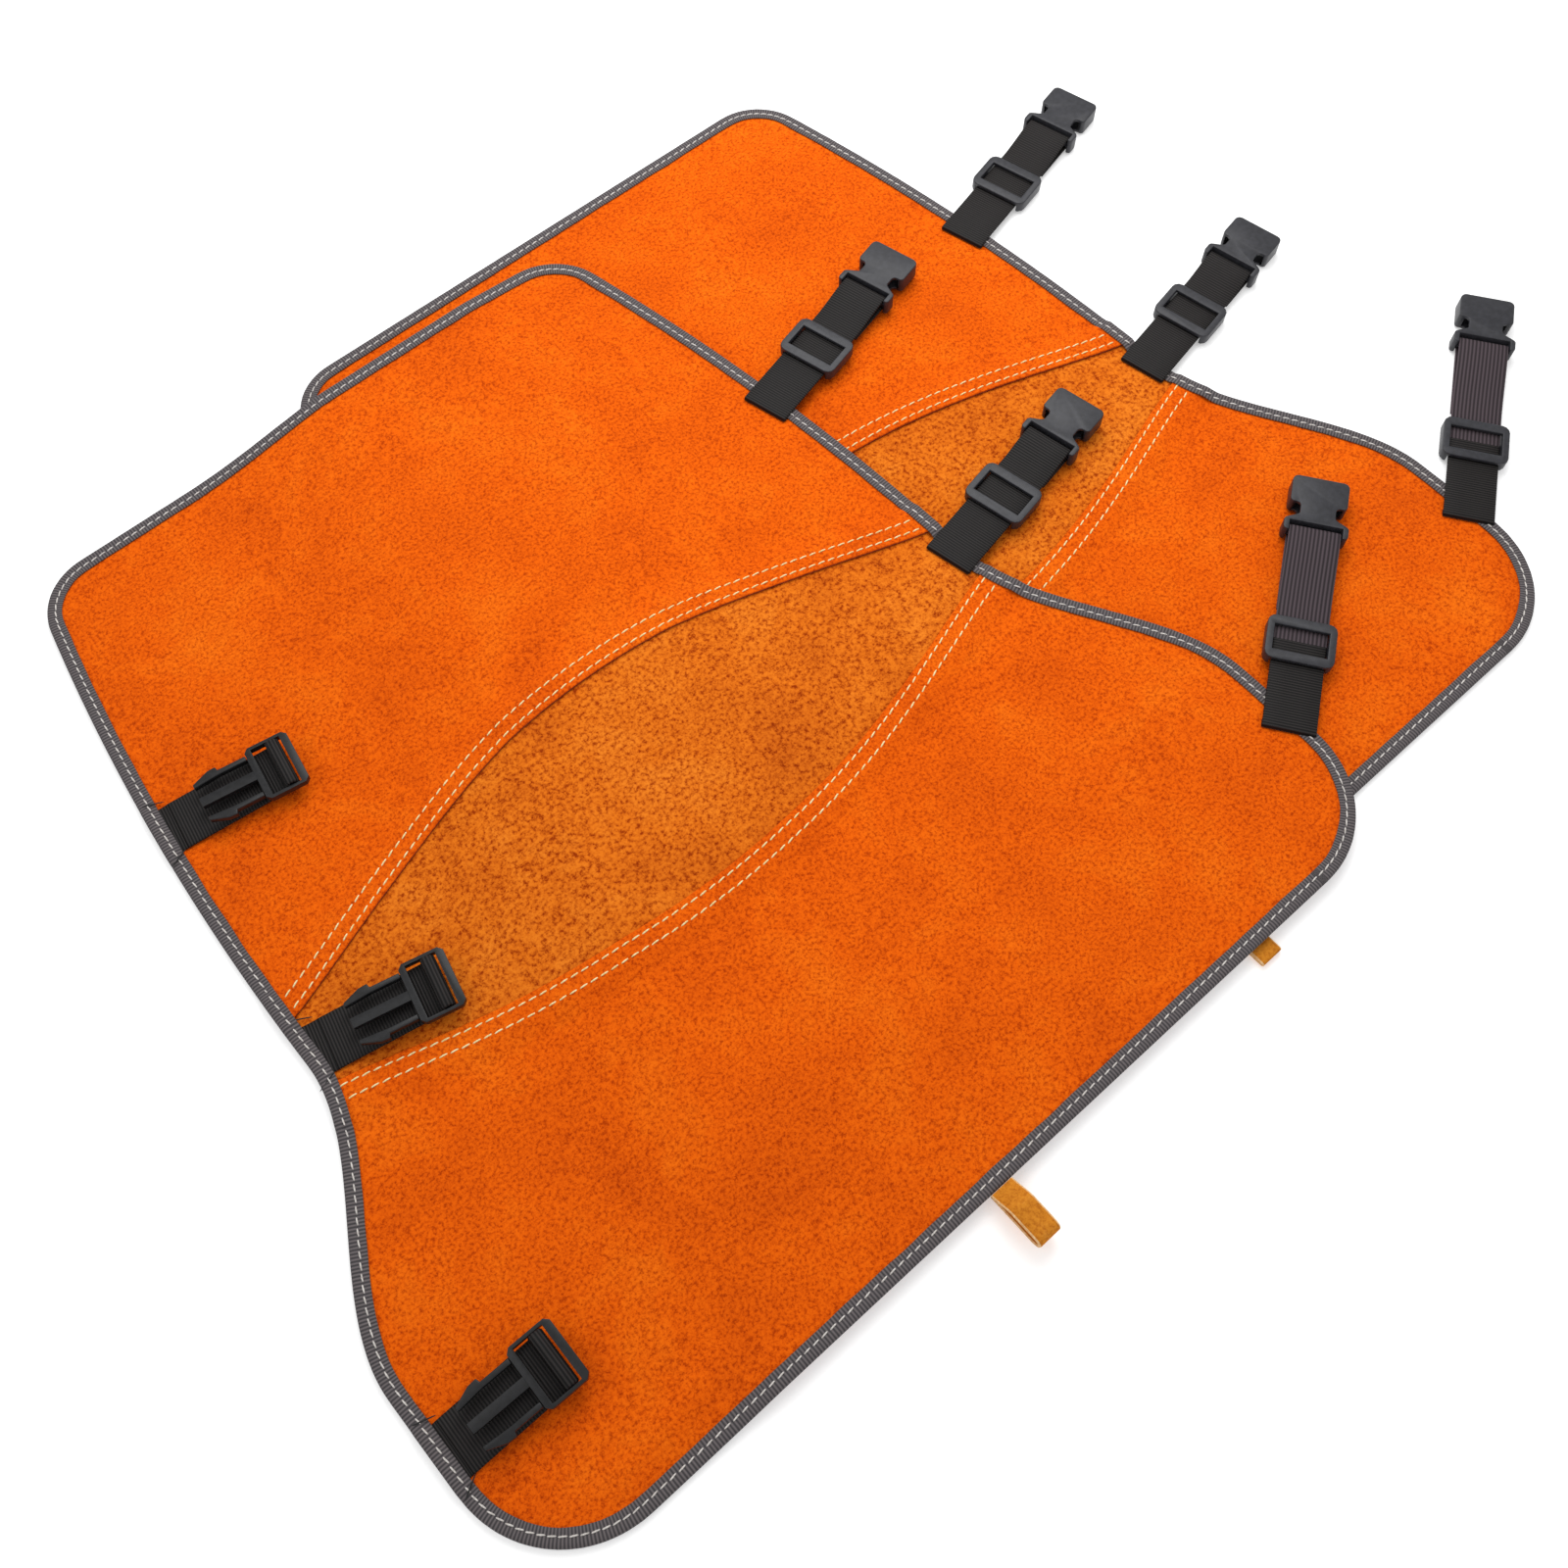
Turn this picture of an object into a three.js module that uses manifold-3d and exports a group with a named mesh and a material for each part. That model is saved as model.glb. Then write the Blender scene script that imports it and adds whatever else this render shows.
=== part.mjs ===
// Pair of leather leg guards: two identical guards, the top one draped over the other.
// Millimetres, +Z up. Each guard is drawn about its own middle: X across the leg, towards the
// long straps, and Y along the leg, towards the shin end. Z is 0 under the edge tape.
import * as THREE from "three";
import { mergeVertices } from "three/addons/utils/BufferGeometryUtils.js";
import Module from "manifold-3d";

const wasm = await Module();
wasm.setup();

// ---- Driving dimensions ----
const CLEARANCE = 0.3; // between pieces that lie on each other
const LEATHER = 1.5;
const TAPE = 0.6; // edge tape thickness
const TAPE_REACH = 7.5; // how far the folded tape comes in from the edge

const GUARD_LENGTH = 510;
const SHIN_HALF_WIDTH = 159;
const KNEE_HALF_WIDTH = 192;
const THIGH_HALF_WIDTH = 243;
const FLARE_START = -28; // Y where the sides leave the knee
const FLARE_END = -158; // Y where the sides reach the thigh width
const THIGH_CORNER_RADIUS = 52;
const SHIN_CORNER_RADIUS = 32;
const SIDE_STEPS = 16; // facets along each curved side
const CORNER_STEPS = 6;

const SHIN_SEAM_RISE = 45; // how far the shin seam arches from the sides to the middle
const THIGH_SEAM_DROP = 38;
const SEAM_ROOM_SHIN = 2; // from the knee strap's edge to the lap beside it
const SEAM_ROOM_THIGH = 5;
const SEAM_STEPS = 16;
const SEAM_POWER = 1.3;
const LAP_OVER = 9.5; // upper leather past its outer stitch row
const LAP_UNDER = 6; // lower leather hidden past the same row

const WEBBING_WIDTH = 25;
const WEBBING = 1.4; // webbing thickness
const WEBBING_SIDE_CLEARANCE = 0.4;
const STRAP_START = 12; // how far a long strap reaches in over the leather
const TAB_MARGIN = 1.9; // a short strap starts this far inside the tape, so it can swing over it
const BAR_RADIUS = 1.75; // bars that webbing loops round
const LOOP_STEPS = 10;

const KNEE_STRAP_Y = -23;
// place along the edge, direction, adjuster and buckle bar of each long strap
const LONG_STRAPS = [
  { part: "shin", y: 104, yaw: 14, adjuster: 35, bar: 79 },
  { part: "knee", y: KNEE_STRAP_Y, yaw: 11, adjuster: 35, bar: 74 },
  { part: "thigh", y: -188, yaw: 35, adjuster: 35, bar: 97 },
];
const TABS = [
  { part: "shin", y: 104, yaw: -10, bar: 64 },
  { part: "knee", y: KNEE_STRAP_Y, yaw: -13, bar: 63.5 },
  { part: "thigh", y: -188, yaw: -1, bar: 57 },
];

const ADJUSTER_LENGTH = 24;
const ADJUSTER_SIDE = 3.4; // side rails beside the webbing
const ADJUSTER_RAIL = 5;
const ADJUSTER_BAR = 5;
const ADJUSTER_SKIN = 2; // thickness of its rails and of its bar
const ADJUSTER_CORNER = 4;
const ADJUSTER_TRAVEL = 4; // room kept for it to slide outwards

const SOCKET_THICKNESS = 8.6;
const SOCKET_LENGTH = 31; // from the bar to the mouth
const SOCKET_HEAD_OVER = 0.9; // head past the webbing's passage on each side
const SOCKET_WAIST_HALF = 8.5;
const SOCKET_CHEEK = 2.6;
const SOCKET_CENTRE_HEIGHT = 5; // bar above the surface that the guard lies on
const POCKET_DEPTH = 26;
const POCKET_HEIGHT = 5.4;
const POCKET_WALL = 2.1;

const PLUG_THICKNESS = 3.4;
const PLUG_CHEEK = 1.5; // frame beside the webbing
const PLUG_CROSS_RAIL = 3;
const PLUG_FAR_RAIL = 3.6;
const PLUG_CROSS_RAIL_START = 9.5; // from the bar
const GUIDE_HALF_WIDTH = 2.3;
const ARM_WIDTH = 2.4;
const ARM_POCKET_CLEARANCE = 0.3;
const ARM_TIP_LENGTH = 12;
const ARM_TIP_REACH = 2; // how far the arrowhead stands out of the arm
const ARM_ROOT_CLEARANCE = 0.3;

const LOOP_WIDTH = 12; // belt loop
const LOOP_X = -10; // its middle, from the middle of the thigh edge
const LOOP_LEATHER = 1.3;
const LOOP_REACH = 27;
const LOOP_OPEN_HEIGHT = 7.8; // middle of its upper layer where it stands open

// the lower guard lies this far from the top one
const UNDER_OFFSET = new THREE.Vector2(158, 20);

// ---- Heights in one guard ----
const leatherBottom = TAPE + CLEARANCE;
const leatherTop = leatherBottom + LEATHER;
const lapBottom = leatherTop + CLEARANCE;
const lapTop = lapBottom + LEATHER;
const tapeTop = leatherTop + CLEARANCE + TAPE;
const strapBottom = tapeTop + CLEARANCE;
const strapMiddle = strapBottom + WEBBING / 2;
const tabMiddle = leatherTop + CLEARANCE + WEBBING / 2;
const wrapRadius = BAR_RADIUS + CLEARANCE + WEBBING / 2; // middle of webbing round a bar
const pressedBarHeight = tabMiddle + wrapRadius; // under the top guard's weight
const plugFarEnd = wrapRadius + WEBBING / 2 + 3 * CLEARANCE + PLUG_FAR_RAIL;
// a free short strap holds its buckle's bar so high that the far rail turns clear of the leather
const freeBarHeight = leatherTop + CLEARANCE + Math.hypot(plugFarEnd, PLUG_THICKNESS / 2);
const passageHalf = WEBBING_WIDTH / 2 + WEBBING_SIDE_CLEARANCE;
const adjusterWidth = 2 * (passageHalf + ADJUSTER_SIDE);
const socketHeadHalf = passageHalf + SOCKET_HEAD_OVER;
const plugHalfWidth = passageHalf + PLUG_CHEEK;
const edgeInset = TAPE + CLEARANCE; // leather edge inside the tape
const barHalf = BAR_RADIUS * Math.SQRT1_2; // a square bar whose corners lie on the bar's round

// ---- Heights of the top guard over the lower one ----
// A crease is a straight line in plan, x + slant * y = place, where the drape changes slope.
const tabTop = pressedBarHeight + wrapRadius + WEBBING / 2;
const RIDGE_HEIGHT = tabTop + CLEARANCE - leatherBottom;
const REST_HEIGHT = lapTop + CLEARANCE + 0.1;
const SLANT = -0.2; // the ridge follows the lower guard's edge
const RAMP_LENGTH = 63; // climb from the table to the ridge
const FALL_LENGTH = 54; // descent from the ridge to the lower guard's leather
const RIDGE_LEAD = 7.6; // ridge begins this far inside the lower guard's edge
const RIDGE_PAST_BAR = 16; // and ends this far past the buckle bars under it
const HEM_LENGTH = 45; // descent from the ridge towards the thigh end
const HEM_START = 0.5; // it starts this far inside the side of the webbing under it

const underEdges = TABS.map((tab) => {
  const edge = UNDER_OFFSET.x - halfWidth(tab.y);
  return edge + SLANT * (tab.y + UNDER_OFFSET.y);
});
const ridgeStart = Math.min(...underEdges) + RIDGE_LEAD;
const longestTab = Math.max(...TABS.map((tab) => tab.bar));
const ridgeEnd = Math.max(...underEdges) + longestTab + RIDGE_PAST_BAR;
const rampStart = ridgeStart - RAMP_LENGTH;
const restStart = ridgeEnd + FALL_LENGTH;
const rise = RIDGE_HEIGHT / RAMP_LENGTH;
const fall = (RIDGE_HEIGHT - REST_HEIGHT) / FALL_LENGTH;
const hemRise = (RIDGE_HEIGHT - REST_HEIGHT) / HEM_LENGTH;
const lowestTab = Math.min(...TABS.map((tab) => tab.y)) + UNDER_OFFSET.y;
const hemRidge = lowestTab - WEBBING_WIDTH / 2 + HEM_START;
const hemRest = hemRidge - HEM_LENGTH;

function drapeHeight(x, y) {
  const across = x + SLANT * y;
  const climb = rise * (across - rampStart);
  const descent = RIDGE_HEIGHT - fall * (across - ridgeEnd);
  const hem = REST_HEIGHT + hemRise * (y - hemRest);
  const ridge = Math.max(REST_HEIGHT, Math.min(descent, hem, RIDGE_HEIGHT));
  return Math.max(0, Math.min(climb, ridge));
}

const creases = [
  { nx: 1, ny: SLANT, place: rampStart },
  { nx: 1, ny: SLANT, place: rampStart + REST_HEIGHT / rise },
  { nx: 1, ny: SLANT, place: ridgeStart },
  { nx: 1, ny: SLANT, place: ridgeEnd },
  { nx: 1, ny: SLANT, place: restStart },
  { nx: 0, ny: 1, place: hemRest },
  { nx: 0, ny: 1, place: hemRidge },
  // where the climb meets the hem, and where the descent meets it
  {
    nx: rise,
    ny: rise * SLANT - hemRise,
    place: rise * rampStart + REST_HEIGHT - hemRise * hemRest,
  },
  {
    nx: fall,
    ny: fall * SLANT + hemRise,
    place: RIDGE_HEIGHT - REST_HEIGHT + fall * ridgeEnd + hemRise * hemRest,
  },
];

// ---- Materials ----
function finish(color, roughness, metalness = 0) {
  return { color, roughness, metalness };
}
const SUEDE_ORANGE = finish(0xee6a0e, 0.95);
const SUEDE_BROWN = finish(0xd2741e, 0.95);
const LOOP_TAN = finish(0xd98a2b, 0.85);
const BINDING_GREY = finish(0x5e5e63, 0.9);
const WEBBING_BLACK = finish(0x141414, 0.85);
const WEBBING_PLUM = finish(0x3d3539, 0.85);
const ACETAL_CHARCOAL = finish(0x3a3a3e, 0.4);
const ACETAL_BLACK = finish(0x262628, 0.4);

// ---- Solids ----
function toSolid(geometry) {
  const bare = geometry.index ? geometry.toNonIndexed() : geometry.clone();
  bare.deleteAttribute("normal");
  bare.deleteAttribute("uv");
  const merged = mergeVertices(bare, 1e-4);
  return new wasm.Manifold(
    new wasm.Mesh({
      numProp: 3,
      vertProperties: new Float32Array(merged.attributes.position.array),
      triVerts: new Uint32Array(merged.index.array),
    }),
  );
}

function toGeometry(solid) {
  const mesh = solid.getMesh();
  const geometry = new THREE.BufferGeometry();
  geometry.setAttribute("position", new THREE.BufferAttribute(mesh.vertProperties, 3));
  geometry.setIndex(new THREE.BufferAttribute(mesh.triVerts, 1));
  return geometry;
}

function box(x0, x1, y0, y1, z0, z1) {
  const geometry = new THREE.BoxGeometry(x1 - x0, y1 - y0, z1 - z0);
  geometry.translate((x0 + x1) / 2, (y0 + y1) / 2, (z0 + z1) / 2);
  return toSolid(geometry);
}

// a flat plate with the given outline, from z0 to z1
function plate(points, z0, z1) {
  const geometry = new THREE.ExtrudeGeometry(new THREE.Shape(points), {
    depth: z1 - z0,
    bevelEnabled: false,
    curveSegments: 4,
  });
  geometry.translate(0, 0, z0);
  return geometry;
}

// a strip of the given thickness whose middle follows points (u, v), as wide as `width`;
// u runs along +X, v is up and the width is centred on Y
function strip(points, thickness, width) {
  const left = [];
  const right = [];
  points.forEach((point, i) => {
    const before = points[Math.max(i - 1, 0)];
    const after = points[Math.min(i + 1, points.length - 1)];
    const along = after.clone().sub(before).normalize();
    const normal = new THREE.Vector2(-along.y, along.x).multiplyScalar(thickness / 2);
    left.push(point.clone().add(normal));
    right.push(point.clone().sub(normal));
  });
  const outline = new THREE.Shape([...right, ...left.reverse()]);
  const geometry = new THREE.ExtrudeGeometry(outline, { depth: width, bevelEnabled: false });
  geometry.rotateX(Math.PI / 2);
  geometry.translate(0, width / 2, 0);
  return geometry;
}

function arc(cx, cy, radius, from, to, steps) {
  const points = [];
  for (let i = 0; i <= steps; i += 1) {
    const angle = THREE.MathUtils.degToRad(from + ((to - from) * i) / steps);
    points.push(new THREE.Vector2(cx + radius * Math.cos(angle), cy + radius * Math.sin(angle)));
  }
  return points;
}

// points that ease from one height to another along X
function eased(x0, y0, x1, y1, steps) {
  const points = [];
  for (let i = 0; i <= steps; i += 1) {
    const t = i / steps;
    const rise = THREE.MathUtils.smoothstep(t, 0, 1);
    points.push(new THREE.Vector2(x0 + (x1 - x0) * t, y0 + (y1 - y0) * rise));
  }
  return points;
}

function roundedRectangle(length, width, radius) {
  const x = length / 2 - radius;
  const y = width / 2 - radius;
  return [
    ...arc(x, y, radius, 0, 90, 3),
    ...arc(-x, y, radius, 90, 180, 3),
    ...arc(-x, -y, radius, 180, 270, 3),
    ...arc(x, -y, radius, 270, 360, 3),
  ];
}

function addMesh(parent, name, geometry, look) {
  const mesh = new THREE.Mesh(geometry, new THREE.MeshStandardMaterial(look));
  mesh.name = name;
  parent.add(mesh);
  return mesh;
}

// cuts every triangle that crosses a crease, then lifts each corner by the drape height
function drape(geometry) {
  let corners = [];
  const flat = geometry.index ? geometry.toNonIndexed() : geometry;
  const position = flat.attributes.position;
  for (let i = 0; i < position.count; i += 1) {
    corners.push(new THREE.Vector3().fromBufferAttribute(position, i));
  }
  for (const crease of creases) {
    corners = cutTriangles(corners, crease);
  }
  const lifted = corners.map((c) => new THREE.Vector3(c.x, c.y, c.z + drapeHeight(c.x, c.y)));
  return new THREE.BufferGeometry().setFromPoints(lifted);
}

const ON_CREASE = 1e-4;

function cutTriangles(corners, crease) {
  const kept = [];
  for (let i = 0; i < corners.length; i += 3) {
    const triangle = corners.slice(i, i + 3);
    const sides = triangle.map((c) => sideOf(c, crease));
    if (Math.max(...sides) <= 0 || Math.min(...sides) >= 0) {
      kept.push(...triangle);
      continue;
    }
    for (const wanted of [1, -1]) {
      const piece = clip(triangle, sides, wanted);
      for (let k = 1; k + 1 < piece.length; k += 1) {
        kept.push(piece[0], piece[k], piece[k + 1]);
      }
    }
  }
  return kept;
}

function sideOf(corner, crease) {
  const side = crease.nx * corner.x + crease.ny * corner.y - crease.place;
  return Math.abs(side) < ON_CREASE * Math.hypot(crease.nx, crease.ny) ? 0 : side;
}

// the part of a triangle on the wanted side; a shared edge is always cut from the same end
function clip(triangle, sides, wanted) {
  const piece = [];
  for (let i = 0; i < 3; i += 1) {
    const j = (i + 1) % 3;
    if (sides[i] * wanted >= 0) {
      piece.push(triangle[i]);
    }
    if (sides[i] * sides[j] < 0) {
      const [low, high] = sides[i] < sides[j] ? [i, j] : [j, i];
      const share = sides[low] / (sides[low] - sides[high]);
      piece.push(triangle[low].clone().lerp(triangle[high], share));
    }
  }
  return piece;
}

// ---- Outline ----
function halfWidth(y) {
  if (y > FLARE_START) {
    const t = (y - FLARE_START) / (GUARD_LENGTH / 2 - FLARE_START);
    return KNEE_HALF_WIDTH - (KNEE_HALF_WIDTH - SHIN_HALF_WIDTH) * t * t;
  }
  const u = THREE.MathUtils.smoothstep(-y, -FLARE_START, -FLARE_END);
  return KNEE_HALF_WIDTH + (THIGH_HALF_WIDTH - KNEE_HALF_WIDTH) * u;
}

// points on the right-hand side from the thigh edge to the shin edge, corners rounded
function rightSide() {
  const top = GUARD_LENGTH / 2;
  const lower = arc(
    THIGH_HALF_WIDTH - THIGH_CORNER_RADIUS,
    -top + THIGH_CORNER_RADIUS,
    THIGH_CORNER_RADIUS,
    -90,
    0,
    CORNER_STEPS,
  );
  // the side leans in where the corner takes over, so the corner starts at that lean
  const centreY = top - SHIN_CORNER_RADIUS;
  const slope = halfWidth(centreY) - halfWidth(centreY + 1);
  const lean = Math.atan(slope);
  const takeOver = centreY + SHIN_CORNER_RADIUS * Math.sin(lean);
  const upper = arc(
    halfWidth(takeOver) - SHIN_CORNER_RADIUS * Math.cos(lean),
    centreY,
    SHIN_CORNER_RADIUS,
    THREE.MathUtils.radToDeg(lean),
    90,
    CORNER_STEPS,
  );
  const start = lower.at(-1).y;
  const end = upper[0].y;
  const side = [];
  for (let i = 1; i < SIDE_STEPS; i += 1) {
    const y = start + ((end - start) * i) / SIDE_STEPS;
    side.push(new THREE.Vector2(halfWidth(y), y));
  }
  return [...lower, ...side, ...upper];
}

// the closed outline, anticlockwise, moved in from the edge by `inset`
function outline(inset) {
  const right = rightSide();
  const left = right.map((p) => new THREE.Vector2(-p.x, p.y)).reverse();
  const ring = [...right, ...left];
  return ring.map((point, i) => {
    const before = ring[(i + ring.length - 1) % ring.length];
    const after = ring[(i + 1) % ring.length];
    const into = point.clone().sub(before).normalize();
    const out = after.clone().sub(point).normalize();
    const normalIn = new THREE.Vector2(-into.y, into.x);
    const normalOut = new THREE.Vector2(-out.y, out.x);
    const miter = normalIn.add(normalOut);
    const scale = (2 * inset) / miter.lengthSq();
    return point.clone().add(miter.multiplyScalar(scale));
  });
}

function arch(x) {
  const t = Math.min(1, Math.abs(x) / KNEE_HALF_WIDTH);
  return (1 - t * t) ** SEAM_POWER;
}
const seamRoom = WEBBING_WIDTH / 2 + LAP_OVER;
const shinSeamSide = KNEE_STRAP_Y + seamRoom + SEAM_ROOM_SHIN;
const thighSeamSide = KNEE_STRAP_Y - seamRoom - SEAM_ROOM_THIGH;
const shinSeam = (x) => shinSeamSide + SHIN_SEAM_RISE * arch(x);
const thighSeam = (x) => thighSeamSide - THIGH_SEAM_DROP * arch(x);

// a band right across the guard between two curves y(x)
function band(lowerCurve, upperCurve) {
  const reach = THIGH_HALF_WIDTH + THIGH_CORNER_RADIUS;
  const stops = [-reach];
  for (let i = 0; i <= SEAM_STEPS; i += 1) {
    stops.push(KNEE_HALF_WIDTH * ((2 * i) / SEAM_STEPS - 1));
  }
  stops.push(reach);
  const lower = stops.map((x) => new THREE.Vector2(x, lowerCurve(x)));
  const upper = stops.map((x) => new THREE.Vector2(x, upperCurve(x))).reverse();
  return [...lower, ...upper];
}

// leather of the outline's shape between two curves
function leatherBetween(lowerCurve, upperCurve, inset, z0, z1) {
  const whole = toSolid(plate(outline(inset), z0, z1));
  const window = toSolid(plate(band(lowerCurve, upperCurve), z0 - 1, z1 + 1));
  return whole.intersect(window);
}

const beyond = GUARD_LENGTH;
const lapInset = TAPE_REACH + CLEARANCE;

function kneePanel() {
  const from = (x) => thighSeam(x) - LAP_UNDER;
  const to = (x) => shinSeam(x) + LAP_UNDER;
  return toGeometry(leatherBetween(from, to, edgeInset, leatherBottom, leatherTop));
}

// a panel that ends beside the knee panel, steps up and laps over it; side is 1 for the shin
function lappedPanel(seam, side) {
  const order = (a, b) => (side > 0 ? [a, b] : [b, a]);
  const butt = (x) => seam(x) + side * (LAP_UNDER + CLEARANCE);
  const cutEdge = (x) => seam(x) - side * LAP_OVER;
  const step = (x) => butt(x) + side * LEATHER;
  const far = () => side * beyond;
  const flat = leatherBetween(...order(butt, far), edgeInset, leatherBottom, leatherTop);
  const flap = leatherBetween(...order(cutEdge, step), lapInset, lapBottom, lapTop);
  const riser = leatherBetween(...order(butt, step), lapInset, leatherBottom, lapTop);
  return toGeometry(flat.add(flap).add(riser));
}

// the tape folded over the edge: one section carried round the outline
function edgeBinding() {
  const section = [
    [0, 0],
    [TAPE_REACH, 0],
    [TAPE_REACH, TAPE],
    [TAPE, TAPE],
    [TAPE, tapeTop - TAPE],
    [TAPE_REACH, tapeTop - TAPE],
    [TAPE_REACH, tapeTop],
    [0, tapeTop],
  ];
  const rings = section.map(([inset, z]) =>
    outline(inset).map((p) => new THREE.Vector3(p.x, p.y, z)),
  );
  const corners = [];
  const count = rings[0].length;
  for (let s = 0; s < section.length; s += 1) {
    const ring = rings[s];
    const next = rings[(s + 1) % section.length];
    for (let i = 0; i < count; i += 1) {
      const j = (i + 1) % count;
      corners.push(ring[i], next[j], ring[j]);
      corners.push(ring[i], next[i], next[j]);
    }
  }
  return new THREE.BufferGeometry().setFromPoints(corners);
}

// a strip that leaves the thigh edge, turns round at its end and comes back under itself;
// the top guard's stands open, and the lower one's is pressed flat by the guard above
function beltLoop(isOpen) {
  const lowerLayer = CLEARANCE + LOOP_LEATHER / 2;
  const pressed = lowerLayer + LOOP_LEATHER + CLEARANCE;
  const height = isOpen ? LOOP_OPEN_HEIGHT : pressed;
  const turn = (height - lowerLayer) / 2;
  const end = LOOP_REACH - turn;
  const path = [
    new THREE.Vector2(CLEARANCE, pressed),
    new THREE.Vector2(LOOP_REACH / 6, THREE.MathUtils.lerp(pressed, height, 0.35)),
    new THREE.Vector2(LOOP_REACH / 3, THREE.MathUtils.lerp(pressed, height, 0.8)),
    ...arc(end, lowerLayer + turn, turn, 90, -90, LOOP_STEPS),
    new THREE.Vector2(CLEARANCE, lowerLayer),
  ];
  const geometry = strip(path, LOOP_LEATHER, LOOP_WIDTH);
  geometry.rotateZ(-Math.PI / 2);
  geometry.translate(LOOP_X, -GUARD_LENGTH / 2, 0);
  return geometry;
}

// ---- Straps ----
// Each strap is drawn with its edge of the guard at 0 and runs out along +X.
function strapWebbing(strap) {
  const level = strap.adjuster + ADJUSTER_LENGTH / 2 + ADJUSTER_TRAVEL + 1;
  const path = [
    new THREE.Vector2(-STRAP_START, strapMiddle),
    new THREE.Vector2(level, strapMiddle),
    ...arc(strap.bar, SOCKET_CENTRE_HEIGHT, wrapRadius, 90, -90, LOOP_STEPS),
    new THREE.Vector2(level + 1, SOCKET_CENTRE_HEIGHT - wrapRadius),
  ];
  return strip(path, WEBBING, WEBBING_WIDTH);
}

// frame with two rails over the webbing and one bar under it, centred on its bar
function slideAdjuster() {
  const barTop = strapBottom - CLEARANCE;
  const railBottom = strapBottom + WEBBING + CLEARANCE;
  const bottom = barTop - ADJUSTER_SKIN;
  const top = railBottom + ADJUSTER_SKIN;
  const far = ADJUSTER_LENGTH;
  const outer = roundedRectangle(ADJUSTER_LENGTH, adjusterWidth, ADJUSTER_CORNER);
  const window = ADJUSTER_LENGTH / 2 - ADJUSTER_RAIL;
  const half = ADJUSTER_BAR / 2;
  return toGeometry(
    toSolid(plate(outer, bottom, top))
      .subtract(box(-far, far, -passageHalf, passageHalf, barTop, railBottom))
      .subtract(box(-window, window, -passageHalf, passageHalf, barTop, top + 1))
      .subtract(box(half, far, -passageHalf, passageHalf, bottom - 1, railBottom))
      .subtract(box(-far, -half, -passageHalf, passageHalf, bottom - 1, railBottom)),
  );
}

// female buckle, with the middle of its bar at the origin and its mouth towards +X
function buckleSocket() {
  const cheekHalf = passageHalf + SOCKET_CHEEK;
  const slotEnd = wrapRadius + WEBBING / 2 + 2 * CLEARANCE;
  const waistStart = slotEnd + 3;
  const headStart = SOCKET_LENGTH - POCKET_DEPTH + ARM_TIP_LENGTH - 1;
  const end = 1.6;
  const hollow = 2.2;
  const lobe = 2;
  const corner = 3;
  const waistEnd = headStart - 3;
  const lobeBack = waistEnd + hollow;
  const left = [
    ...arc(end - BAR_RADIUS, cheekHalf - end, end, 180, 90, 3),
    ...eased(slotEnd, cheekHalf, waistStart + 2, SOCKET_WAIST_HALF, 5),
    ...arc(waistEnd, SOCKET_WAIST_HALF + hollow, hollow, -90, 0, 4),
    ...arc(lobeBack + lobe, socketHeadHalf - lobe, lobe, 180, 90, 4),
    ...arc(SOCKET_LENGTH - corner, socketHeadHalf - corner, corner, 90, 0, 4),
  ];
  const right = left.map((p) => new THREE.Vector2(p.x, -p.y)).reverse();
  const body = plate([...left, ...right].reverse(), -SOCKET_THICKNESS / 2, SOCKET_THICKNESS / 2);
  const pocketHalf = socketHeadHalf - POCKET_WALL;
  const pocketStart = SOCKET_LENGTH - POCKET_DEPTH;
  const pocketZ = POCKET_HEIGHT / 2;
  const over = SOCKET_THICKNESS;
  const past = SOCKET_LENGTH + 1;
  const w = passageHalf;
  return toGeometry(
    toSolid(body)
      .subtract(box(pocketStart, past, -pocketHalf, pocketHalf, -pocketZ, pocketZ))
      .subtract(box(-over, slotEnd, -w, w, barHalf, over))
      .subtract(box(-over, slotEnd, -w, w, -over, -barHalf))
      .subtract(box(barHalf, slotEnd, -w, w, -over, over))
      .subtract(box(-over, -barHalf, -w, w, -over, over)),
  );
}

// a short strap starts clear of the tape however it is turned
function tabStart(tab) {
  const turn = Math.abs(Math.sin(THREE.MathUtils.degToRad(tab.yaw)));
  return TAPE_REACH + TAB_MARGIN + (turn * WEBBING_WIDTH) / 2;
}

// webbing of a short strap: in over the leather and round the bar of its buckle
function tabWebbing(tab, barHeight) {
  const path = [
    new THREE.Vector2(tabStart(tab), tabMiddle),
    ...arc(tab.bar, barHeight, wrapRadius, -90, 150, LOOP_STEPS + 4),
  ];
  return strip(path, WEBBING, WEBBING_WIDTH);
}

const pocketHalfWidth = socketHeadHalf - POCKET_WALL;
const plugShoulder = PLUG_CROSS_RAIL_START + PLUG_CROSS_RAIL;
const plugEnd = plugShoulder + POCKET_DEPTH;

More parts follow.
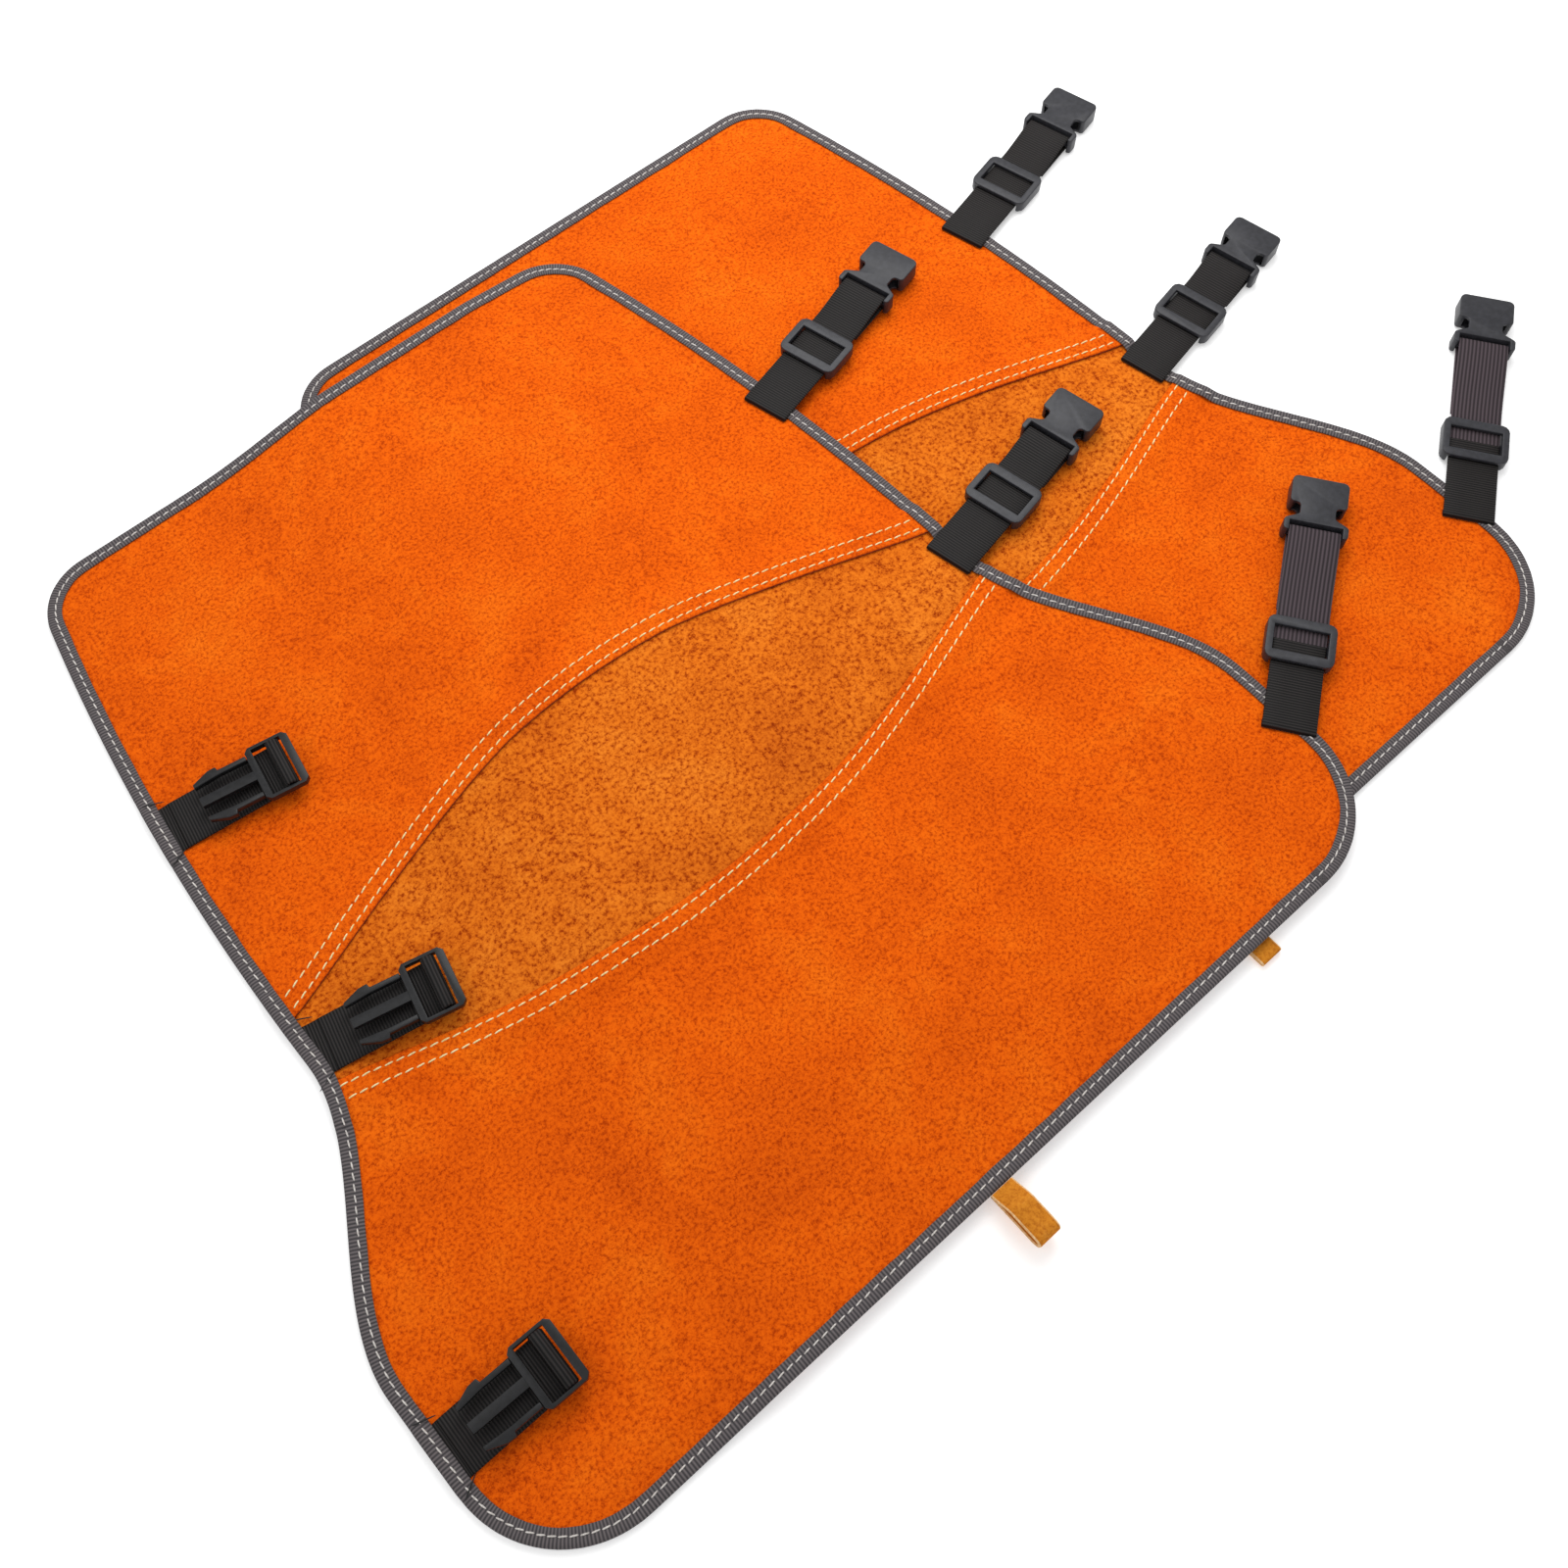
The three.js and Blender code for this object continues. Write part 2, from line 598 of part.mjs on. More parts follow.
// male buckle without its arms, pointing along +X, with its webbing bar at the origin: a far
// rail, the bar, a cross rail and a guide
function bucklePlug() {
  const z = PLUG_THICKNESS / 2;
  const guideZ = z - 0.2;
  const corner = 2;
  const half = [
    [-plugFarEnd, plugHalfWidth - corner],
    [-plugFarEnd + corner, plugHalfWidth],
    [plugShoulder - corner, plugHalfWidth],
    [plugShoulder, plugHalfWidth - corner],
  ];
  const left = half.map(([x, y]) => new THREE.Vector2(x, y));
  const right = half.map(([x, y]) => new THREE.Vector2(x, -y)).reverse();
  const frame = toSolid(plate([...left, ...right].reverse(), -z, z));
  const w = passageHalf;
  const over = PLUG_THICKNESS;
  const farInner = -plugFarEnd + PLUG_FAR_RAIL;
  const nearSlot = box(barHalf, PLUG_CROSS_RAIL_START, -w, w, -over, over);
  const farSlot = box(farInner, -barHalf, -w, w, -over, over);
  const underBar = box(-2 * barHalf, 2 * barHalf, -w, w, -over, -barHalf);
  const overBar = box(-2 * barHalf, 2 * barHalf, -w, w, barHalf, over);
  const guide = box(
    plugShoulder - 1,
    plugEnd,
    -GUIDE_HALF_WIDTH,
    GUIDE_HALF_WIDTH,
    -guideZ,
    guideZ,
  );
  const cut = frame.subtract(nearSlot).subtract(farSlot).subtract(underBar).subtract(overBar);
  return toGeometry(cut.add(guide));
}

// latch arm with its arrowhead; side is 1 or -1, and the origin is where the arm bends
const armOuter = pocketHalfWidth - ARM_POCKET_CLEARANCE;
const armBend = new THREE.Vector2(plugShoulder + 1, armOuter - ARM_WIDTH / 2);

function latchArm(side) {
  const tip = plugEnd - ARM_TIP_LENGTH;
  const inner = armOuter - ARM_WIDTH;
  const half = [
    [plugShoulder + ARM_ROOT_CLEARANCE, inner],
    [tip, inner],
    [plugEnd, inner - 1],
    [plugEnd, armOuter - 1.5],
    [tip + 4, armOuter + ARM_TIP_REACH - 0.3],
    [tip, armOuter + ARM_TIP_REACH],
    [tip - 0.5, armOuter],
    [plugShoulder + ARM_ROOT_CLEARANCE, armOuter],
  ];
  const points = half.map(([x, y]) => new THREE.Vector2(x - armBend.x, side * (y - armBend.y)));
  if (side < 0) {
    points.reverse();
  }
  const z = PLUG_THICKNESS / 2 - 0.1;
  return plate(points, -z, z);
}

// ---- One guard ----
function edgeGroup(parent, x, y, z, yaw) {
  const group = new THREE.Group();
  group.position.set(x, y, z);
  group.rotation.z = THREE.MathUtils.degToRad(yaw);
  parent.add(group);
  return group;
}

function addLongStrap(guard, prefix, strap, height) {
  const group = edgeGroup(guard, halfWidth(strap.y), strap.y, height, strap.yaw);
  const name = `${prefix}_${strap.part}`;
  const isPlum = strap.part === "thigh";
  const look = isPlum ? WEBBING_PLUM : WEBBING_BLACK;
  addMesh(group, `${name}_strap`, strapWebbing(strap), look);
  const adjuster = addMesh(group, `${name}_adjuster`, slideAdjuster(), ACETAL_CHARCOAL);
  adjuster.position.x = strap.adjuster;
  const socket = addMesh(group, `${name}_socket`, buckleSocket(), ACETAL_CHARCOAL);
  socket.position.set(strap.bar, 0, SOCKET_CENTRE_HEIGHT);
}

// the highest that the leather is draped under a strap which starts at the edge (x, strap.y)
function heightUnder(strap, x, from, to) {
  const along = new THREE.Vector2(1, 0);
  along.rotateAround(new THREE.Vector2(), THREE.MathUtils.degToRad(strap.yaw));
  const aside = new THREE.Vector2(-along.y, along.x);
  const heights = [];
  for (const reach of [from, to]) {
    for (const side of [-plugHalfWidth, plugHalfWidth]) {
      const corner = new THREE.Vector2(x, strap.y);
      corner.addScaledVector(along, reach).addScaledVector(aside, side);
      heights.push(drapeHeight(corner.x, corner.y));
    }
  }
  return Math.max(...heights);
}

function addTab(guard, prefix, tab, height, barHeight) {
  const group = edgeGroup(guard, -halfWidth(tab.y), tab.y, height, tab.yaw);
  const name = `${prefix}_${tab.part}`;
  addMesh(group, `${name}_tab`, tabWebbing(tab, barHeight), WEBBING_BLACK);
  const buckle = new THREE.Group();
  buckle.position.set(tab.bar, 0, barHeight);
  buckle.rotation.z = Math.PI;
  group.add(buckle);
  addMesh(buckle, `${name}_plug`, bucklePlug(), ACETAL_BLACK);
  for (const [armName, side] of [["left", 1], ["right", -1]]) {
    const arm = addMesh(buckle, `${name}_${armName}_latch`, latchArm(side), ACETAL_BLACK);
    arm.position.set(armBend.x, side * armBend.y, 0);
  }
}

function makeGuard(prefix, isDraped) {
  const guard = new THREE.Group();
  const lay = isDraped ? drape : (geometry) => geometry;
  addMesh(guard, `${prefix}_shin_panel`, lay(lappedPanel(shinSeam, 1)), SUEDE_ORANGE);
  addMesh(guard, `${prefix}_knee_panel`, lay(kneePanel()), SUEDE_BROWN);
  addMesh(guard, `${prefix}_thigh_panel`, lay(lappedPanel(thighSeam, -1)), SUEDE_ORANGE);
  addMesh(guard, `${prefix}_edge_binding`, lay(edgeBinding()), BINDING_GREY);
  addMesh(guard, `${prefix}_belt_loop`, lay(beltLoop(isDraped)), LOOP_TAN);
  for (const strap of LONG_STRAPS) {
    const height = heightUnder(strap, halfWidth(strap.y), -STRAP_START, strap.bar);
    addLongStrap(guard, prefix, strap, isDraped ? height : 0);
  }
  for (const tab of TABS) {
    const height = heightUnder(tab, -halfWidth(tab.y), 0, tab.bar + plugFarEnd);
    const barHeight = isDraped ? freeBarHeight : pressedBarHeight;
    addTab(guard, prefix, tab, isDraped ? height : 0, barHeight);
  }
  return guard;
}

// ---- The pair ----
const pair = new THREE.Group();
const underGuard = makeGuard("under", false);
underGuard.position.set(UNDER_OFFSET.x, UNDER_OFFSET.y, 0);
pair.add(underGuard);
pair.add(makeGuard("top", true));

// the origin is under the middle of the whole
pair.updateMatrixWorld(true);
const bounds = new THREE.Box3().setFromObject(pair, true);
const middle = bounds.getCenter(new THREE.Vector3());
pair.position.set(-middle.x, -middle.y, -bounds.min.z);

export default pair;
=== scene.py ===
import math

import bmesh
import bpy
import numpy as np
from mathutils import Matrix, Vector, noise


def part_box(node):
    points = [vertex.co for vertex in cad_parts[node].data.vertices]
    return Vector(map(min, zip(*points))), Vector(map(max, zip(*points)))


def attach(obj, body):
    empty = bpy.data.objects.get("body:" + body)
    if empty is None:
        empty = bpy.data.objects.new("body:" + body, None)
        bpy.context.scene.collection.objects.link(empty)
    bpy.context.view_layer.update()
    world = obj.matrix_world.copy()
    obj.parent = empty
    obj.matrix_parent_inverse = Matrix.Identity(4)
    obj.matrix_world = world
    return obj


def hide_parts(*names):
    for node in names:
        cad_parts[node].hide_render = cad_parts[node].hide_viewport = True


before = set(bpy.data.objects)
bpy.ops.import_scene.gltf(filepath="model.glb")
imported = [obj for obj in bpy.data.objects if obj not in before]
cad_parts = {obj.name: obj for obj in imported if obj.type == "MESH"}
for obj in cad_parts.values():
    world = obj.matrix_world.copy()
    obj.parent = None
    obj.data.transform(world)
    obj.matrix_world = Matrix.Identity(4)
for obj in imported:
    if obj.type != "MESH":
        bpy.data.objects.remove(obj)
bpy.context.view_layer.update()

MM = 0.001

# ---- Sizes of the guard, as in the part ----
CLEARANCE = 0.3
LEATHER = 1.5
TAPE = 0.6
TAPE_REACH = 7.5
GUARD_LENGTH = 510
SHIN_HALF_WIDTH = 159
KNEE_HALF_WIDTH = 192
THIGH_HALF_WIDTH = 243
FLARE_START = -28
FLARE_END = -158
THIGH_CORNER_RADIUS = 52
SHIN_CORNER_RADIUS = 32
SHIN_SEAM_RISE = 45
THIGH_SEAM_DROP = 38
SEAM_ROOM_SHIN = 2
SEAM_ROOM_THIGH = 5
SEAM_POWER = 1.3
LAP_OVER = 9.5
LAP_UNDER = 6
WEBBING_WIDTH = 25
WEBBING = 1.4
BAR_RADIUS = 1.75
STRAP_START = 12
TAB_MARGIN = 1.9
KNEE_STRAP_Y = -23
LONG_STRAPS = {
    "shin": {"y": 104, "yaw": 14, "adjuster": 35, "bar": 79},
    "knee": {"y": KNEE_STRAP_Y, "yaw": 11, "adjuster": 35, "bar": 74},
    "thigh": {"y": -188, "yaw": 35, "adjuster": 35, "bar": 97},
}
TABS = {
    "shin": {"y": 104, "yaw": -10, "bar": 64},
    "knee": {"y": KNEE_STRAP_Y, "yaw": -13, "bar": 63.5},
    "thigh": {"y": -188, "yaw": -1, "bar": 57},
}
SOCKET_CENTRE_HEIGHT = 5
ADJUSTER_LENGTH = 24
ADJUSTER_TRAVEL = 4
PLUG_FAR_RAIL = 3.6
PLUG_THICKNESS = 3.4
LOOP_X = -10
LOOP_WIDTH = 12
LOOP_LEATHER = 1.3
LOOP_REACH = 27
LOOP_OPEN_HEIGHT = 7.8

LEATHER_BOTTOM = TAPE + CLEARANCE
LEATHER_TOP = LEATHER_BOTTOM + LEATHER
LAP_TOP = LEATHER_TOP + CLEARANCE + LEATHER
LAP_STEP = LAP_TOP - LEATHER_TOP
TAPE_TOP = LEATHER_TOP + CLEARANCE + TAPE
STRAP_MIDDLE = TAPE_TOP + CLEARANCE + WEBBING / 2
TAB_MIDDLE = LEATHER_TOP + CLEARANCE + WEBBING / 2
WRAP_RADIUS = BAR_RADIUS + CLEARANCE + WEBBING / 2
PRESSED_BAR_HEIGHT = TAB_MIDDLE + WRAP_RADIUS
PLUG_FAR_END = WRAP_RADIUS + WEBBING / 2 + 3 * CLEARANCE + PLUG_FAR_RAIL
FREE_BAR_HEIGHT = LEATHER_TOP + CLEARANCE + math.hypot(PLUG_FAR_END, PLUG_THICKNESS / 2)
PLUG_HALF_WIDTH = WEBBING_WIDTH / 2 + 0.4 + 1.5

# ---- Where each guard lies ----


def middle_of(node):
    low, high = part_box(node)
    return Vector(((low[0] + high[0]) / 2, (low[1] + high[1]) / 2, 0)) / MM


GUARD_MIDDLE = {side: middle_of(f"{side}_edge_binding") for side in ("under", "top")}
UNDER_OFFSET = GUARD_MIDDLE["under"] - GUARD_MIDDLE["top"]

# ---- Outline ----


def half_width(y):
    y = np.asarray(y, float)
    t = (y - FLARE_START) / (GUARD_LENGTH / 2 - FLARE_START)
    upper = KNEE_HALF_WIDTH - (KNEE_HALF_WIDTH - SHIN_HALF_WIDTH) * t * t
    u = np.clip((-y + FLARE_START) / (FLARE_START - FLARE_END), 0, 1)
    u = u * u * (3 - 2 * u)
    lower = KNEE_HALF_WIDTH + (THIGH_HALF_WIDTH - KNEE_HALF_WIDTH) * u
    return np.where(y > FLARE_START, upper, lower)


CORNER_POINTS = 18
SIDE_POINTS = 90


def corner(cx, cy, radius, start, end):
    angles = np.radians(np.linspace(start, end, CORNER_POINTS))
    return np.stack([cx + radius * np.cos(angles), cy + radius * np.sin(angles)], 1)


def right_side():
    top = GUARD_LENGTH / 2
    radius = THIGH_CORNER_RADIUS
    lower = corner(THIGH_HALF_WIDTH - radius, -top + radius, radius, -90, 0)
    radius = SHIN_CORNER_RADIUS
    centre_y = top - radius
    lean = math.atan(float(half_width(centre_y) - half_width(centre_y + 1)))
    take_over = centre_y + radius * math.sin(lean)
    centre_x = float(half_width(take_over)) - radius * math.cos(lean)
    upper = corner(centre_x, centre_y, radius, math.degrees(lean), 90)
    y = np.linspace(lower[-1, 1], upper[0, 1], SIDE_POINTS)[1:-1]
    return np.concatenate([lower, np.stack([half_width(y), y], 1), upper])


def evenly(points, step):
    """Points along a polyline, close to `step` apart, with their running length."""
    gaps = np.linalg.norm(np.diff(points, axis=0), axis=1)
    run = np.concatenate([[0], np.cumsum(gaps)])
    count = max(2, int(round(run[-1] / step)) + 1)
    wanted = np.linspace(0, run[-1], count)
    return np.stack([np.interp(wanted, run, points[:, k]) for k in range(points.shape[1])], 1), wanted


SIDE = right_side()
RING = np.concatenate([SIDE, (SIDE * [-1, 1])[::-1], SIDE[:1]])


def inset_side(inset):
    """Right-hand side moved in by `inset`, as x for a given y."""
    along = np.gradient(SIDE, axis=0)
    along /= np.linalg.norm(along, axis=1)[:, None]
    moved = SIDE + inset * np.stack([-along[:, 1], along[:, 0]], 1)
    return lambda y: np.interp(y, moved[:, 1], moved[:, 0])


# ---- Heights of the top guard over the lower one ----
TAB_TOP = PRESSED_BAR_HEIGHT + WRAP_RADIUS + WEBBING / 2
RIDGE_HEIGHT = TAB_TOP + CLEARANCE - LEATHER_BOTTOM
REST_ROOM = 0.1
REST_HEIGHT = LAP_TOP + CLEARANCE + REST_ROOM
SLANT = -0.2
RAMP_LENGTH = 63
FALL_LENGTH = 54
RIDGE_LEAD = 7.6
RIDGE_PAST_BAR = 16
HEM_LENGTH = 45
HEM_START = 0.5
UNDER_EDGES = [
    UNDER_OFFSET.x - float(half_width(t["y"])) + SLANT * (t["y"] + UNDER_OFFSET.y)
    for t in TABS.values()
]
RIDGE_START = min(UNDER_EDGES) + RIDGE_LEAD
RIDGE_END = max(UNDER_EDGES) + max(t["bar"] for t in TABS.values()) + RIDGE_PAST_BAR
LOWEST_TAB = min(t["y"] for t in TABS.values()) + UNDER_OFFSET.y
HEM_REST = LOWEST_TAB - WEBBING_WIDTH / 2 + HEM_START - HEM_LENGTH


def creased_drape(x, y):
    across = x + SLANT * y
    climb = RIDGE_HEIGHT / RAMP_LENGTH * (across - RIDGE_START + RAMP_LENGTH)
    descent = RIDGE_HEIGHT - (RIDGE_HEIGHT - REST_HEIGHT) / FALL_LENGTH * (across - RIDGE_END)
    hem = REST_HEIGHT + (RIDGE_HEIGHT - REST_HEIGHT) / HEM_LENGTH * (y - HEM_REST)
    ridge = np.maximum(REST_HEIGHT, np.minimum(np.minimum(descent, hem), RIDGE_HEIGHT))
    return np.maximum(0, np.minimum(climb, ridge))


DRAPE_SOFTNESS = 16  # mm over which the leather rounds off a change of slope


def drape(x, y):
    """Soft version of the part's drape, the mean of it round about, never below it."""
    across = (-1, -0.5, 0, 0.5, 1)
    along = (-1, 0, 1)
    total = 0
    for dx in across:
        for dy in along:
            total = total + creased_drape(x + dx * DRAPE_SOFTNESS, y + dy * DRAPE_SOFTNESS)
    return np.maximum(total / (len(across) * len(along)), creased_drape(x, y))


def lie(side, x, y):
    x = np.asarray(x, float)
    y = np.asarray(y, float)
    return drape(x, y) if side == "top" else np.zeros(np.broadcast(x, y).shape)


# ---- Seams ----
SEAM_ROOM = WEBBING_WIDTH / 2 + LAP_OVER
SHIN_SEAM_SIDE = KNEE_STRAP_Y + SEAM_ROOM + SEAM_ROOM_SHIN
THIGH_SEAM_SIDE = KNEE_STRAP_Y - SEAM_ROOM - SEAM_ROOM_THIGH


def arch(x):
    t = np.minimum(1, np.abs(x) / KNEE_HALF_WIDTH)
    return (1 - t * t) ** SEAM_POWER


def shin_seam(x):
    return SHIN_SEAM_SIDE + SHIN_SEAM_RISE * arch(x)


def thigh_seam(x):
    return THIGH_SEAM_SIDE - THIGH_SEAM_DROP * arch(x)


# ---- Mesh helpers ----


def linear(code):
    """An sRGB hex colour as linear RGBA."""
    channels = [int(code[i : i + 2], 16) / 255 for i in (1, 3, 5)]
    return [c / 12.92 if c <= 0.04045 else ((c + 0.055) / 1.055) ** 2.4 for c in channels] + [1]


def new_piece(name, corners, faces, materials, guard=None, uvs=None, material_of=None):
    """A smooth mesh piece from corners in millimetres, moved to its guard's place."""
    shift = GUARD_MIDDLE[guard] if guard else Vector((0, 0, 0))
    mesh = bpy.data.meshes.new(name)
    mesh.from_pydata([tuple((Vector(c) + shift) * MM) for c in corners], [], faces)
    if uvs is not None:
        layer = mesh.uv_layers.new(name="UVMap")
        for loop in mesh.loops:
            layer.data[loop.index].uv = uvs[loop.vertex_index]
    for material in materials:
        mesh.materials.append(material)
    if material_of is not None:
        mesh.polygons.foreach_set("material_index", material_of)
    mesh.polygons.foreach_set("use_smooth", [True] * len(mesh.polygons))
    mesh.update()
    work = bmesh.new()
    work.from_mesh(mesh)
    bmesh.ops.recalc_face_normals(work, faces=work.faces)
    work.to_mesh(mesh)
    work.free()
    piece = bpy.data.objects.new(name, mesh)
    bpy.context.scene.collection.objects.link(piece)
    return piece


# ---- Leather ----
CELL = 4  # mm between the leather's mesh lines
EDGE_ROUND = 0.4  # mm by which a cut edge is rounded off
SIDE_ROUND_SHARE = 0.003  # the same at the sides, as a share of half the width
BROAD_WAVE = 1.1  # mm, heights of the hide's broad and fine waves
FINE_WAVE = 0.45
WAVE_MIDDLE = 0.55
WAVE_SEEDS = {"top": 3.1, "under": 11.7}


def soft_wave(side, x, y):
    """Gentle standing creases of hide, in millimetres, that never sink below flat."""
    seed = WAVE_SEEDS[side]
    broad = noise.noise(Vector((x / 85, y / 60, seed)))
    fine = noise.noise(Vector((x / 26 + 0.4 * broad, y / 48, seed + 5)))
    return max(0, WAVE_MIDDLE + BROAD_WAVE * broad + FINE_WAVE * fine)


FOLD_HEIGHT = 2.4
FOLD_HALF_WIDTH = 5
FOLD_MIDDLE_X = -172
FOLD_FROM_EDGE = 19
FOLD_SLOPE = 0.12
FOLD_HALF_LENGTH = 38


def corner_fold(side, x, y):
    """One soft fold of the top guard's leather beside the left end of its thigh edge."""
    if side != "top":
        return 0
    crest = -GUARD_LENGTH / 2 + FOLD_FROM_EDGE + FOLD_SLOPE * (x - FOLD_MIDDLE_X)
    along = (x - FOLD_MIDDLE_X) / FOLD_HALF_LENGTH
    across = (y - crest) / FOLD_HALF_WIDTH
    return FOLD_HEIGHT * math.exp(-across * across - along**4)


HELD_BY_TAPE = 3  # mm round each of these where the leather is held flat
HELD_BY_SEAM = 14
HELD_PAST_BUCKLE = 12
HELD_BESIDE_STRAP = 26
STRAP_DRIFT = 8  # the leaning straps lie this much nearer the thigh end
HOLD_FADE = 22  # mm further over which the waves reach their full height


def looseness(x, y):
    """1 on open leather and 0 beside an edge, a seam or a strap, where waves are held down."""
    edge = min(half_width(y) - abs(x), GUARD_LENGTH / 2 - abs(y))
    room = [edge - TAPE_REACH - HELD_BY_TAPE]
    room += [abs(y - seam(x)) - HELD_BY_SEAM for seam in (shin_seam, thigh_seam)]
    for tab in TABS.values():
        start = -float(half_width(tab["y"]))
        out = max(0, x - start - tab["bar"] - HELD_PAST_BUCKLE)
        aside = max(0, abs(y - tab["y"] + STRAP_DRIFT) - HELD_BESIDE_STRAP)
        room.append(math.hypot(out, aside))
    return min(1, max(0, min(room) / HOLD_FADE))


def leather_panel(side, part, low_curve, high_curve, lap, materials):
    """A closed panel between two curves y(x); lap gives how far each point is stepped up."""
    width_at = inset_side(LEATHER_BOTTOM)
    length = float(high_curve(0) - low_curve(0))
    rows = max(6, int(length / CELL))
    columns = int(2 * THIGH_HALF_WIDTH / CELL)
    thin = np.array([1, 2, 4]) * EDGE_ROUND / length
    v = np.concatenate([[0], thin, np.linspace(0, 1, rows)[1:-1], 1 - thin[::-1], [1]])
    near_side = 1 - SIDE_ROUND_SHARE
    u = np.concatenate([[-1, -near_side], np.linspace(-1, 1, columns)[1:-1], [near_side, 1]])
    top = np.zeros((len(v), len(u), 3))
    for i, share in enumerate(v):
        x = u * KNEE_HALF_WIDTH
        for _ in range(6):
            y = low_curve(x) + share * (high_curve(x) - low_curve(x))
            x = u * width_at(y)
        top[i, :, 0] = x
        top[i, :, 1] = y
    x = top[..., 0]
    y = top[..., 1]
    wave = np.vectorize(
        lambda a, b: looseness(a, b) * soft_wave(side, a, b) + corner_fold(side, a, b)
    )(x, y)
    top[..., 2] = LEATHER_TOP + lap(x, y) + wave + lie(side, x, y)
    bottom = top.copy()
    bottom[..., 2] -= LEATHER
    for edge in (np.s_[0, :], np.s_[-1, :], np.s_[:, 0], np.s_[:, -1]):
        top[edge + (2,)] = np.minimum(top[edge + (2,)], bottom[edge + (2,)] + LEATHER - EDGE_ROUND)
    height, width = len(v), len(u)
    index = np.arange(height * width).reshape(height, width)
    under = index + height * width
    faces = []
    kinds = []
    for i in range(height - 1):
        for j in range(width - 1):
            faces.append((index[i, j], index[i, j + 1], index[i + 1, j + 1], index[i + 1, j]))
            faces.append((under[i, j], under[i + 1, j], under[i + 1, j + 1], under[i, j + 1]))
            kinds += [0, 0]
    rim = [(0, j) for j in range(width)]
    rim += [(i, width - 1) for i in range(1, height)]
    rim += [(height - 1, j) for j in range(width - 2, -1, -1)]
    rim += [(i, 0) for i in range(height - 2, 0, -1)]
    for a, b in zip(rim, rim[1:] + rim[:1]):
        faces.append((index[a], under[a], under[b], index[b]))
        kinds.append(1)
    corners = np.concatenate([top.reshape(-1, 3), bottom.reshape(-1, 3)])
    faces = [tuple(int(k) for k in face) for face in faces]
    piece = new_piece(f"{side}_{part}_leather", corners, faces, materials, side, None, kinds)
    across = top[1:, 1:, :2] - top[:-1, :-1, :2]
    back = top[1:, :-1, :2] - top[:-1, 1:, :2]
    plan = np.abs(across[..., 0] * back[..., 1] - across[..., 1] * back[..., 0]).sum() / 2
    flat = ((x.max() - x.min()) * MM, (y.max() - y.min()) * MM)
    return piece, flat, min(plan * MM * MM, flat[0] * flat[1])


LAP_SLOPE = 2.5  # mm over which an upper leather comes down beside the lower one's edge
LAP_LEVEL = LAP_UNDER + CLEARANCE + 1.5  # from the seam to where it lies level again


def shin_lap(x, y):
    past = (shin_seam(x) + LAP_LEVEL - y) / LAP_SLOPE
    return LAP_STEP * np.clip(past, 0, 1)


def thigh_lap(x, y):
    past = (y - thigh_seam(x) + LAP_LEVEL) / LAP_SLOPE
    return LAP_STEP * np.clip(past, 0, 1)


def no_lap(x, y):
    return np.zeros(np.shape(x))


# ---- Tape folded over the edge ----
STITCH_INSET = 4.4  # binding stitches from the edge
STITCH_DIP = 0.25  # how far the thread pulls the tape down
TAPE_STEP = 3  # mm between the tape's mesh lines
SEAM_ENDS_PAST = 150  # a seam reaches the tape only further out than this
LAP_MIDDLE = 1.6  # about, from a seam's line to the middle of its lap
SEAM_LIFT_REACH = 11  # from there to where the tape lies flat again
LIFT_FADE = 3  # mm over which the tape climbs onto a seam or a strap
STRAP_LIFT_MARGIN = 4


def seam_lift(x, y):
    """How far the tape stands up over a lapped seam."""
    lift = 0.0
    for seam, sign in ((shin_seam, 1), (thigh_seam, -1)):
        middle = seam(x) - sign * LAP_MIDDLE
        if abs(x) > SEAM_ENDS_PAST:
            share = (SEAM_LIFT_REACH - abs(y - middle)) / LIFT_FADE
            lift = max(lift, LAP_STEP * min(1, max(0, share)))
    return lift


def strap_lift(x, y):
    """How far the tape stands up over the root of a short strap."""
    lift = 0.0
    if x < 0:
        for tab in TABS.values():
            share = (WEBBING_WIDTH / 2 + STRAP_LIFT_MARGIN - abs(y - tab["y"])) / LIFT_FADE
            lift = max(lift, WEBBING * min(1, max(0, share)))
    return lift


def strap_share(inset):
    """Share of the lift: the tape slopes to its inner edge, so that the strap can fold back."""
    return float(np.interp(inset, [0, STITCH_INSET, TAPE_REACH], [0.85, 0.78, 0.08]))


def tape_line(step):
    """Points, inward directions and running length round the outline."""
    points, run = evenly(RING, step)
    points = points[:-1]
    ahead = np.roll(points, -1, 0) - np.roll(points, 1, 0)
    ahead /= np.linalg.norm(ahead, axis=1)[:, None]
    inward = np.stack([-ahead[:, 1], ahead[:, 0]], 1)
    return points, inward, ahead, run


def tape_section(top, reach):
    """The folded tape's outline as (inset, height), from the lower flap round the edge."""
    half = top / 2
    bend = 0.25 * half
    below = [(TAPE_REACH, 0), (1.4, 0), (0.4, bend), (0, half), (0.4, top - bend)]
    above = [(1.4, top), (3.2, top + 0.05), (STITCH_INSET, top - STITCH_DIP), (5.6, top)]
    hem = [(reach - 0.2, top), (reach, top - 0.25), (reach - 0.1, top - TAPE)]
    inside = [(1.5, top - TAPE), (0.7, half), (1.5, TAPE), (TAPE_REACH, TAPE)]
    return below + above + hem + inside


